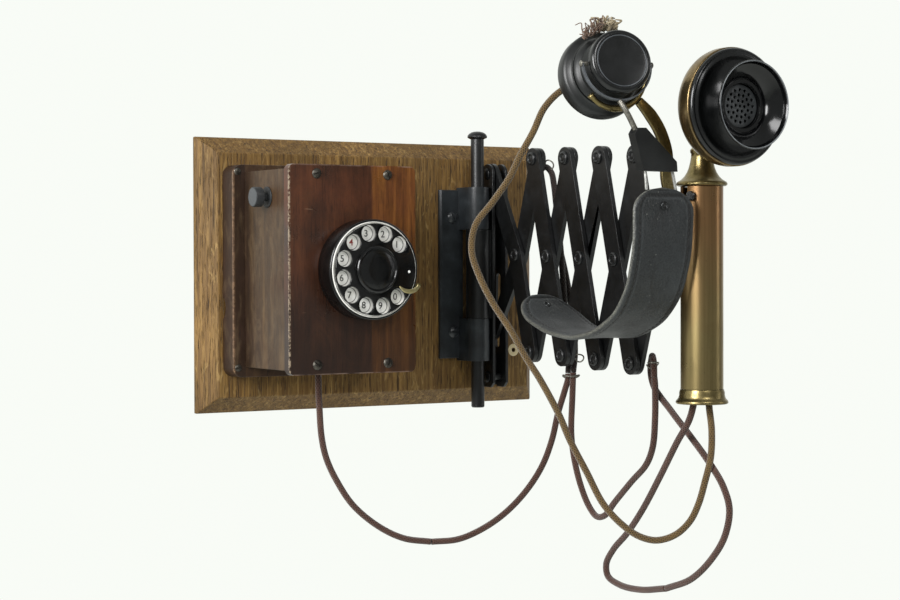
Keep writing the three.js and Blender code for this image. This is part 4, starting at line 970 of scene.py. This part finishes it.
def make_dial():
    cup_low, cup_high = span("dial_cup")
    radius = (cup_high.x - cup_low.x) / 2
    back = span("box_cover")[0].y - 0.3
    depth = back - cup_low.y
    cup = [(0, -30), (25, -30), (25, 0), (radius - 0.9, 0), (radius, 1.2), (radius, depth - 1.6),
           (radius - 0.3, depth - 0.4), (radius - 0.8, depth), (radius - 1.4, depth - 0.2),
           (radius - 1.6, depth - 0.9), (radius - 1.6, 15), (radius - 2.5, 15), (radius - 2.5, 11), (20, 11),
           (20, 3), (0, 3)]
    lathe("dial_cup_turned", cup, (DIAL_X, back, DIAL_Z), TO_ROOM, DIAL_BLACK, "dial_cup",
          sides=128, width=0.15)

    plate_low, plate_high = span("number_plate")
    rim = (plate_high.x - plate_low.x) / 2
    thick = plate_high.y - plate_low.y
    plate = [(3.6, 0), (rim, 0), (rim, thick), (rim + 0.8, thick + 0.4), (rim + 0.8, thick + 2.3),
             (rim + 0.4, thick + 2.6), (rim - 0.1, thick + 2.3), (rim - 0.7, thick + 0.5), (rim - 1.3, thick),
             (3.6, thick)]
    lathe("number_plate_enamel", plate, (DIAL_X, plate_high.y, DIAL_Z), TO_ROOM, ENAMEL, "number_plate",
          sides=128, width=0)
    face = plate_low.y
    for index in range(10):
        digit = str((index + 1) % 10)
        x, z = dial_spot(index)
        tone = RED_INK if digit == "4" else BLACK_INK
        mesh = stand(digit_mesh("digit_" + digit, digit), x, face - 0.06, z - 0.2)
        add_piece("digit_" + digit, mesh, tone, "wall_unit")
        ring = plate_mesh("digit_ring_" + digit, [circle(0, 0, 5.9), circle(0, 0, 5.45)], 0.14, 0.03)
        add_piece("digit_ring_" + digit, stand(ring, x, face - 0.05, z), BLACK_INK, "wall_unit")

    wheel_low, wheel_high = span("finger_wheel")
    wheel_face = wheel_low.y + 1
    loops = [circle(0, 0, (wheel_high.x - wheel_low.x) / 2 - 0.2, 144)]
    for index in range(10):
        x, z = dial_spot(index)
        loops.append(circle(x - DIAL_X, z - DIAL_Z, HOLE_R, 40))
    wheel = plate_mesh("finger_wheel_disc", loops, 1.7, 0.5)
    stand_in("finger_wheel", "finger_wheel_disc", stand(wheel, DIAL_X, wheel_face + 0.85, DIAL_Z), DIAL_BLACK)
    hub = [(0, -17), (3, -17), (3, 0), (CARD_R + 0.2, 0), (CARD_R + 0.6, 0.5), (CARD_R - 1.8, 1.0), (0, 1.0)]
    lathe("wheel_hub", hub, (DIAL_X, wheel_face, DIAL_Z), TO_ROOM, DIAL_BLACK, body="dial_wheel",
          slot="hard_rubber", width=0.1)
    card = [(0, 0), (CARD_R - 1.2, 0), (CARD_R, 0.7), (CARD_R - 0.4, 1.6), (CARD_R - 1.4, 2.25),
            (CARD_R - 2.2, 2.1), (CARD_R - 2.6, 1.5), (CARD_R - 3.2, 1.45), (CARD_R - 3.6, 1.7), (8, 1.9),
            (0, 1.95)]
    lathe("card_cap", card, (DIAL_X, span("card_holder")[1].y, DIAL_Z), TO_ROOM, DIAL_BLACK, "card_holder",
          width=0.08)
    dot = [(0, 0), (1.1, 0), (0.9, 0.3), (0, 0.42)]
    lathe("wheel_dot", dot, (WHEEL_DOT[0], wheel_face, WHEEL_DOT[1]), TO_ROOM, ENAMEL, body="dial_wheel",
          slot="white_enamel", sides=24, width=0)
    stop = [(DIAL_X + reach * cos(radians(a)), DIAL_Z + reach * sin(radians(a))) for reach, a in STOP_LINE]
    stop_y = span("finger_stop")[0].y
    hook = plate_mesh("finger_stop_hook", [ribbon(stop, STOP_WIDTHS)], 1.3, 0.45)
    stand_in("finger_stop", "finger_stop_hook", stand(hook, 0, stop_y + 0.7, 0), CREAM_BRASS)
    post = [(0, 0.9), (1.7, 0.9), (1.7, 23.6), (0, 23.6)]
    lathe("finger_stop_post", post, (stop[0][0], stop_y, stop[0][1]), (0, 1, 0), BRASS, body="wall_unit",
          slot="brass", sides=24, width=0.1)


# ---- ironwork ------------------------------------------------------------------------------------
# The outer faces of the two layers of bars.
TONGS_LEFT, TONGS_RIGHT = 101, 109.3


def make_eyelets():
    """Rolled rims of the hollow rivets, on both faces of the tongs."""
    ring = [(2.4, 0.1), (5.5, 0.1), (5.5, 0.8), (5.1, 1.6), (4.4, 2.15), (3.6, 2.25), (2.9, 1.9), (2.4, 1.0)]
    centre = [(0, 0.6), (2.6, 0.6), (2.6, 1.0), (0, 1.0)]
    tops = [joint_at("top_%d" % number) for number in range(2, 6)]
    middles = [joint_at("cross_%d" % number) for number in range(1, 5)]
    step = tops[3] - tops[2]
    feet = [joint_at("bottom_5") - step * (4 - number) for number in range(1, 5)]
    rows = (("top", tops, "arm_b%d"), ("middle", middles, "arm_a%d"), ("foot", feet, "arm_a%d"))
    for row, spots, bodies in rows:
        for number, spot in enumerate(spots, 1):
            for x, side, label in ((TONGS_LEFT, -1, "left"), (TONGS_RIGHT, 1, "right")):
                name = "eyelet_%s_%d_%s" % (row, number, label)
                for suffix, profile, finish, sides in (("", ring, IRON, 32), ("_eye", centre, HOLE_DARK, 24)):
                    lathe(name + suffix, profile, (x, spot.y, spot.z), (side, 0, 0), finish,
                          body=bodies % number, slot="black_iron", sides=sides, width=0)


def make_ironwork():
    for node, finish, width in (
        ("hinge_leaf", LIT_LEAF_IRON, 0.6), ("hinge_screw_upper", LIT_LEAF_IRON, 0.25),
        ("hinge_screw_lower", LIT_LEAF_IRON, 0.25), ("gate_channel", IRON, 0.45), ("gate_pivot_bolt", IRON, 0.35),
        ("gate_foot_bolt", IRON, 0.35),
    ):
        refined(node, finish, width)
    for number in range(1, 6):
        refined("bar_a%d" % number, IRON, 0.45)
        refined("bar_b%d" % number, IRON, 0.45)
    refined("mast_bracket", IRON, 0.5)
    refined("end_bolt", IRON, 0.35)
    low, high = span("hinge_rod")
    neck = high.z - 5.6 - low.z
    rod = [(0, 0), (4.9, 0), (5.65, 0.9), (5.65, neck - 1.2), (6.6, neck - 0.6), (8.1, neck),
           (8.5, neck + 0.8), (8.2, neck + 2.1), (7.0, neck + 3.6), (5.0, neck + 4.8), (2.5, neck + 5.45),
           (0, neck + 5.6)]
    lathe("hinge_rod_turned", rod, ((low.x + high.x) / 2, (low.y + high.y) / 2, low.z), (0, 0, 1), IRON,
          "hinge_rod", sides=64, width=0)


# ---- mast ----------------------------------------------------------------------------------------
MAST_X, MAST_Y = centre_of("mast_tube").x, centre_of("mast_tube").y


def make_mast():
    refined("mast_tube", TUBE_BRASS, 0)
    low, high = span("mast_foot")
    tall = high.z - low.z
    foot = [(11.5, 0), (18.7, 0), (19.4, 0.5), (19.6, 1.4), (19.1, 2.5), (18.2, 3.4), (17.4, 4.6),
            (16.9, 6.6), (16.9, 8.6), (16.2, tall), (11.5, tall)]
    lathe("mast_foot_turned", foot, (MAST_X, MAST_Y, low.z), (0, 0, 1), BRASS, "mast_foot", width=0.15)

    low = span("mast_collar")[0]
    collar = [(0, 0), (17.6, 0), (18.8, 0.7), (19, 1.7), (18.5, 2.9), (17.2, 3.7), (15.2, 4.9), (13.0, 7.2),
              (11.1, 10.2), (9.7, 13.6), (8.7, 17.6), (8.0, 21.5), (7.9, 24), (8.6, 25), (8.6, 27), (7.6, 28),
              (6.6, 30), (0, 30)]
    lathe("mast_collar_turned", collar, (MAST_X, MAST_Y, low.z), (0, 0, 1), BRASS, "mast_collar", width=0.12)
    pivot = joint_at("transmitter_tilt")
    root = low.z + 27 - pivot.z
    tongue = arc(0, 0, 5.6, 0, 180, 16) + [(-5.6, root), (5.6, root)]
    mesh = plate_mesh("mast_tongue", [tongue, circle(0, 0, 2.3, 24)], 5.0, 0.4)
    mesh.transform(Matrix.Translation(pivot * MM) @ Matrix.Rotation(pi / 2, 4, "Z") @ FACE_ROOM)
    add_piece("mast_tongue", mesh, BRASS, "mast")
    # Bushing in the slot under the collar, where the hook comes out.
    bush = [(0, 0), (3.4, 0), (3.6, 0.6), (3.6, 2.4), (2.8, 3.2), (0, 3.2)]
    lathe("slot_bushing", bush, (MAST_X - 15.3, MAST_Y - 7.2, 58), (-0.9, -0.42, 0), RUBBER, body="mast",
          slot="hard_rubber", sides=32, width=0.1)


# ---- transmitter ---------------------------------------------------------------------------------
def make_transmitter():
    """Turned about an axis through the mast; depths run out from that axis towards the room."""
    low, high = span("transmitter_face")
    z = (low.z + high.z) / 2
    back, front = MAST_Y - high.y, MAST_Y - low.y

    def turned(name, profile, material, node=None, width=0.1, depth=0, angle=50, **place):
        origin = (MAST_X, MAST_Y - depth, z)
        lathe(name, profile, origin, TO_ROOM, material, node, sides=128, width=width, angle=angle, **place)

    edge = back - 0.3
    shell = [(0, 12.6), (12, 12.65), (20, 12.9), (26, 13.8), (31, 15.4), (35, 17.6), (38.6, 20.6), (41.2, 24),
             (42.8, 27.6), (43.4, 30.6), (43.4, edge - 1.2), (43.2, edge - 0.3), (42.7, edge), (41.6, edge),
             (41.0, 27), (38.6, 23.6), (35, 20.2), (30, 17.4), (20, 14.9), (0, 14.6)]
    turned("transmitter_dome", shell, DARK_BRASS, "transmitter_shell")
    pivot = joint_at("transmitter_tilt")
    ear = arc(0, 0, 5, 90, 270, 16) + [(15.5, -1.2), (15.5, 8.2)]
    for number, side in ((1, -4.15), (2, 4.15)):
        mesh = plate_mesh("tilt_ear_%d" % number, [ear, circle(0, 0, 2.2, 24)], 2.4, 0.35)
        place = Matrix.Translation((pivot + Vector((side, 0, 0))) * MM)
        mesh.transform(place @ Matrix.Rotation(-pi / 2, 4, "Z") @ FACE_ROOM)
        add_piece("tilt_ear_%d" % number, mesh, BRASS, "transmitter")
    half_pin = [(0, 8.4), (2.4, 8.2), (3.4, 7.2), (3.4, 6), (2, 6)]
    pin = [(r, -h) for r, h in half_pin] + half_pin[::-1]
    lathe("tilt_pin_turned", pin, pivot, (1, 0, 0), STEEL, "tilt_pin", sides=32, width=0.1)

    rear = back - front
    seat = MAST_Y - span("mouth_grille")[1].y - front - 0.3
    face = [(0, rear), (42.3, rear), (42.6, rear + 0.5), (42.5, rear + 1.5), (41.9, -5.5), (40.9, -4.9),
            (39.9, -5.3), (39.2, -5.1), (38.2, -4.4), (37, -4.2), (35.8, -4.6), (34.4, -5.3), (33, -5.6),
            (30.4, -5.5), (27.8, -4.9), (25, -3.8), (22.4, -2.4), (20.6, -1.0), (19.8, -0.1), (16.6, -0.1),
            (16.2, -1.2), (16, seat), (0, seat)]
    turned("transmitter_face_turned", face, RUBBER, "transmitter_face", 0.12, front)

    low, high = span("mouthpiece")
    rim, r = high.y - low.y, (high.x - low.x) / 2
    mouth = MAST_Y - high.y
    bell = [(16.6, 0), (18.9, 0), (19.6, 1.6), (20.8, 3.4), (23.0, 5.6), (26.2, 7.8), (29.4, 9.8),
            (31.2, rim - 2.4), (r, rim - 1.3), (r, rim - 0.5), (r - 0.35, rim), (r - 0.9, rim + 0.05),
            (r - 1.3, rim - 0.3), (r - 1.7, rim - 1.6), (29.6, rim - 3.6), (28.0, rim - 6.6), (25.6, 3.6),
            (22.6, 1.2), (19.6, -0.2), (17.6, -0.9), (16.6, -1.0)]
    turned("mouthpiece_bell", bell, BELL_BLACK, "mouthpiece", 0.08, mouth)
    # Painted highlight: a thin grey ring along the bell's rim, for the light that the lip catches.
    lip = [(r - 1.25, rim - 0.3), (r - 0.9, rim + 0.2), (r - 0.45, rim + 0.2), (r - 0.3, rim - 0.3)]
    turned("mouthpiece_lip_highlight", lip, LIP_HIGHLIGHT_GREY, None, 0, mouth, CRISP, body="transmitter", slot="hard_rubber")
    holes = []
    for ring, count in ((0, 1), (4.1, 6), (8.0, 12), (11.8, 16)):
        for k in range(count):
            a = 2 * pi * k / count + ring
            holes.append(circle(ring * cos(a), ring * sin(a), 1.2, 18))
    grille = plate_mesh("mouth_grille_disc", [circle(0, 0, 15.5, 72)] + holes, 1.1, 0.2)
    grille = stand(grille, MAST_X, span("mouth_grille")[1].y - 0.6, z)
    stand_in("mouth_grille", "mouth_grille_disc", grille, GRILLE_BLACK)


# ---- hook ----------------------------------------------------------------------------------------
# The fork's centre in x and z, and its radius.
FORK = (24.5, 149, 28.8)


def make_hook():
    pivot = joint_at("hook_rise")
    x, z = pivot.x, pivot.z
    lever = [(x + 4, z), (86, z), (76, z + 5), (72, z + 16), (72, z + 34), (66, z + 50), (57, z + 62),
             (46.5, z + 71.6)]
    outline = ribbon(lever, [9, 9, 9.6, 9.6, 9.6, 9.6, 9.4, 6.5])
    mesh = plate_mesh("hook_lever_plate", [outline, circle(x, z, 2.3, 24)], 3.4, 0.5)
    stand_in("hook_lever", "hook_lever_plate", stand(mesh, 0, MAST_Y, 0), BRASS)

    # The fork: a round-section arm bent round the receiver, with swollen tips.
    def thickness(t):
        tips = max(0.0, 1 - t / 0.07) + max(0.0, 1 - (1 - t) / 0.07)
        return 1.9 + 0.8 * tips + 0.7 * sin(pi * t) ** 2

    line = [Vector((px, MAST_Y, pz)) for px, pz in arc(*FORK, 223, 351, 60)]
    add_piece("hook_fork_arm", sweep_mesh("hook_fork_arm", line, thickness, 20), BRASS, "hook")
    pin = [(0, -9), (1.6, -9), (2, -8.6), (2, 8.6), (1.6, 9), (0, 9)]
    lathe("hook_pin_turned", pin, (x, MAST_Y, z), (0, 1, 0), STEEL, "hook_pin", sides=32, width=0)


# ---- headset -------------------------------------------------------------------------------------
RECEIVER_AT = Vector((23.6, MAST_Y, 150.2))
RECEIVER_TURN, RECEIVER_LIFT = 13, 11
FRAYED_THREADS = 70


def make_receiver():
    turn, lift = radians(RECEIVER_TURN), radians(RECEIVER_LIFT)
    axis = Matrix.Rotation(-turn, 3, "Z") @ Matrix.Rotation(-lift, 3, "X") @ Vector(TO_ROOM)
    origin = RECEIVER_AT
    shell = [(0, -14), (24, -14), (25.4, -13.2), (25.9, -12.2), (25.4, -10.8), (23.6, -9.4), (22.2, -8.4),
             (22, -4), (22, 7.2), (22.6, 8.0), (23.2, 8.4), (23.2, 9.6), (0, 9.6)]
    lathe("receiver_body", shell, origin, axis, EAR_BLACK, "receiver_shell", width=0.15)
    line = [(18.3, 16.2), (18.6, 16.6), (19.1, 16.7), (19.4, 16.3)]
    # Painted highlight: a thin grey ring on the cap's ridge.
    lathe("receiver_cap_line", line, origin, axis, GLINT_GREY_BLACK, body="receiver", slot="hard_rubber", width=0)
    cap = [(0, 9.9), (22.8, 9.9), (23.2, 10.4), (23.2, 14.8), (22.5, 16.0), (21.3, 16.6), (20.0, 16.75),
           (19.3, 16.5), (18.9, 16.1), (18.4, 16.45), (17, 16.3), (9, 16.1), (0, 16.05)]
    lathe("receiver_cap_turned", cap, origin, axis, RUBBER, "receiver_cap", width=0.12)
    ear = [(7, -31), (14, -29.6), (22, -30.6), (27, -31.3), (30, -30.6), (31.6, -29), (32, -27), (32, -19.4),
           (31.4, -18), (29.8, -16.9), (27.2, -15.9), (26.4, -14.9), (26, -14.3), (7, -14.3)]
    lathe("ear_cap_turned", ear, origin, axis, EAR_BLACK, "ear_cap", sides=112, width=0.15)

    up = (Vector((0, 0, 1)) - axis * axis.z).normalized()
    right = axis.cross(up)
    if right.x < 0:
        right = -right
    seat = origin + axis * 6.2
    hoop = [seat + right * x + up * z for x, z in arc(0, 0, 26.5, 180, 360, 48)]
    # The strap is black; its grey finish is painted highlight.
    strap = band_mesh("receiver_strap", hoop, axis, 3.4, 1.3)
    add_piece("receiver_strap", strap, GLINT_GREY_BLACK, "receiver")
    head = [(0, -4.3), (1.5, -4.3), (1.5, 0.4), (2.3, 0.5), (2.3, 1.1), (1.6, 1.7), (0, 1.8)]
    for number, side in ((1, -1), (2, 1)):
        lathe("strap_screw_%d" % number, head, seat + right * side * 26.7, right * side, STEEL,
              body="receiver", slot="steel", sides=24, width=0.05)

    stem = curve_points([
        (21.1, -328, 125), (22.6, -330, 121), (26, -331.8, 114.5), (30.3, -332.1, 107.2),
        (34.6, -332.4, 99.9),
    ], 0.5)
    knurled = sweep_mesh("band_stem_knurled", stem, lambda t: 2.05 + 0.12 * sin(t * 150), 18, angle=70)
    stand_in("band_stem", "band_stem_knurled", knurled, STEEL)
    make_tuft(origin - axis * 17 + Vector((-0.5, 0, 33)))


def make_tuft(top):
    """Frayed cotton where the cord's braid ends, on top of the ear cap."""
    random.seed(7)
    for number in range(FRAYED_THREADS):
        share = random.random()
        depth = random.uniform(-6, 5)
        sunk = 13 * max(0.0, 0.5 - share) + random.uniform(0, 3)
        root = top + Vector((-16 + 25 * share, depth, -sunk))
        lean = Vector((random.uniform(-5, 4), random.uniform(-5, 5), random.uniform(3, 10)))
        bend = Vector((random.uniform(-5, 5), random.uniform(-4, 4), random.uniform(-3.5, 2)))
        line = curve_points([root, root + lean * 0.5 + bend * 0.4, root + lean, root + lean + bend], 0.8)
        name = "frayed_thread_%02d" % (number + 1)
        thick = random.uniform(0.35, 0.9) if share < 0.55 else random.uniform(0.5, 1.3)
        strand = sweep_mesh(name, line, lambda t: thick * (1 - 0.5 * t), 7)
        add_piece(name, strand, FRAY if share > 0.5 else FRAY_BROWN, "receiver")


def make_band():
    refined("band_block", EAR_BLACK, 0.9, 3)
    wire_y = -332.4
    for number, (top, middle, foot) in enumerate(((40.2, 41, 42), (64, 66.4, 68.6)), 1):
        name = "band_wire_%d" % number
        line = curve_points([(top, wire_y, 79), (middle, wire_y, 70), (foot, wire_y + 0.4, 61.4)], 1)
        piece = add_piece(name, sweep_mesh(name, line, 1.15, 14), BRIGHT_WIRE, "headband")
        if number == 1:
            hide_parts("band_wires")


# ---- leather pad ---------------------------------------------------------------------------------
PAD_LINE = [
    (-331, 63.4), (-331.5, 50), (-331, 29), (-328, 9), (-320, -11), (-305.5, -28), (-284, -40), (-258, -45.5),
    (-230, -44.5), (-203, -37), (-186, -28), (-171, -16.2),
]
PAD_COLUMNS = 40
TOP_ROUND, TONGUE_ROUND = 17, 30
STITCH_INSET, STITCH_STEP, STITCH_RISE = 5.2, 3.6, 1.9
STITCH_SIZE = Matrix.Diagonal((0.42 * MM, 1.25 * MM, 0.4 * MM, 1))


def make_pad():
    low, high = span("head_pad")
    middle, half = (low.x + high.x) / 2, (high.x - low.x) / 2
    line = curve_points([(0, y, z) for y, z in PAD_LINE], 1.5)
    run = [0.0]
    for a, b in zip(line, line[1:]):
        run.append(run[-1] + (b - a).length)
    total = run[-1]
    end = len(line) - 1

    def half_width(s):
        """Rounded top corners and a long round tongue at the far end."""
        width = half
        for share in (min(1.0, s / TOP_ROUND), min(1.0, (total - s) / TONGUE_ROUND)):
            width *= sqrt(1 - (1 - share) ** 2)
        return max(width, 0.6) - 0.9 * sin(pi * s / total) ** 2

    def frame_at(i):
        t = tangent_at(line, i)
        return t, Vector((0, -t.z, t.y))

    def wave(s, v):
        """Ripple and sag of the worn strip; v runs from -1 to 1 across it."""
        return 0.35 * sin(s * 0.16 + 1.3 * v) * sin(s * 0.053 + v) - 0.8 * v * v

    bm = bmesh.new()
    rim_store = bm.verts.layers.float.new("rim")
    skins = []
    for side in (1, -1):
        rows = []
        for i, point in enumerate(line):
            normal = frame_at(i)[1]
            width = half_width(run[i])
            row = []
            for k in range(PAD_COLUMNS + 1):
                v = -1 + 2 * k / PAD_COLUMNS
                rim = min(width * (1 - abs(v)), 0.9 * min(run[i], total - run[i]))
                thick = 2.25 * min(1.0, sqrt(max(0.0, rim) / 2.2) * 0.9 + 0.1)
                groove = 0.55 * max(0.0, 1 - abs(rim - STITCH_INSET) / 1.3)
                crown = 0.3 * side * max(0.0, min(1.0, (rim - 6) / 10))
                spot = point + normal * ((thick - groove + crown) * side + wave(run[i], v))
                made = bm.verts.new(Vector((middle + v * width, spot.y, spot.z)) * MM)
                made[rim_store] = rim
                row.append(made)
            rows.append(row)
        for upper, lower in zip(rows, rows[1:]):
            for k in range(PAD_COLUMNS):
                bm.faces.new((upper[k], upper[k + 1], lower[k + 1], lower[k]))
        skins.append(rows)
    top, under = skins
    for i in range(end):
        for k in (0, PAD_COLUMNS):
            bm.faces.new((top[i][k], top[i + 1][k], under[i + 1][k], under[i][k]))
    for i in (0, end):
        for k in range(PAD_COLUMNS):
            bm.faces.new((top[i][k], under[i][k], under[i][k + 1], top[i][k + 1]))
    bmesh.ops.recalc_face_normals(bm, faces=bm.faces)
    pad = stand_in("head_pad", "head_pad_leather", to_mesh("head_pad_leather", bm, 70), LEATHER)

    # Stitches along a line inside the rim, on both faces.
    bm = bmesh.new()
    last = -10.0
    for i in range(2, end - 1):
        width = half_width(run[i])
        if run[i] - last < STITCH_STEP or width < 9:
            continue
        last = run[i]
        t, normal = frame_at(i)
        basis = Matrix((Vector((1, 0, 0)), t, normal)).transposed().to_4x4()
        for edge in (-1, 1):
            for side in (1, -1):
                out = edge * (width - STITCH_INSET)
                centre = Vector((middle + out, line[i].y, line[i].z))
                centre += normal * (side * STITCH_RISE + wave(run[i], out / width))
                made = bmesh.ops.create_uvsphere(bm, u_segments=8, v_segments=6, radius=1)
                place = Matrix.Translation(centre * MM) @ basis @ STITCH_SIZE
                bmesh.ops.transform(bm, matrix=place, verts=made["verts"])
    add_piece("pad_stitches", to_mesh("pad_stitches", bm, 80), STITCH, "headband")

    rivet = [(1.5, -1), (3.2, -1), (3.2, 0.1), (2.8, 0.6), (2.2, 0.75), (1.7, 0.5), (1.5, 0.1)]
    eye = [(0, -0.6), (1.6, -0.6), (1.6, -0.1), (0, -0.1)]
    for number, s in ((1, 13.0), (2, total - 15.0)):
        i = min(range(len(run)), key=lambda j: abs(run[j] - s))
        normal = frame_at(i)[1]
        outward = -normal if normal.y > 0 else normal
        for side, label in ((1, "front"), (-1, "back")):
            face = outward * side
            spot = Vector((middle, line[i].y, line[i].z)) + face * 2.5
            lathe("pad_eyelet_%d_%s" % (number, label), rivet, spot, face, EYELET,
                  body="headband", slot="steel", sides=28, width=0.05)
            lathe("pad_eye_%d_%s" % (number, label), eye, spot, face, HOLE_DARK,
                  body="headband", slot="leather", sides=20, width=0)


# ---- assembly ------------------------------------------------------------------------------------
make_camera()
make_studio()
make_cords()
make_rings()
make_box()
make_button()
make_dial()
make_ironwork()
make_eyelets()
make_mast()
make_transmitter()
make_hook()
make_receiver()
make_band()
make_pad()
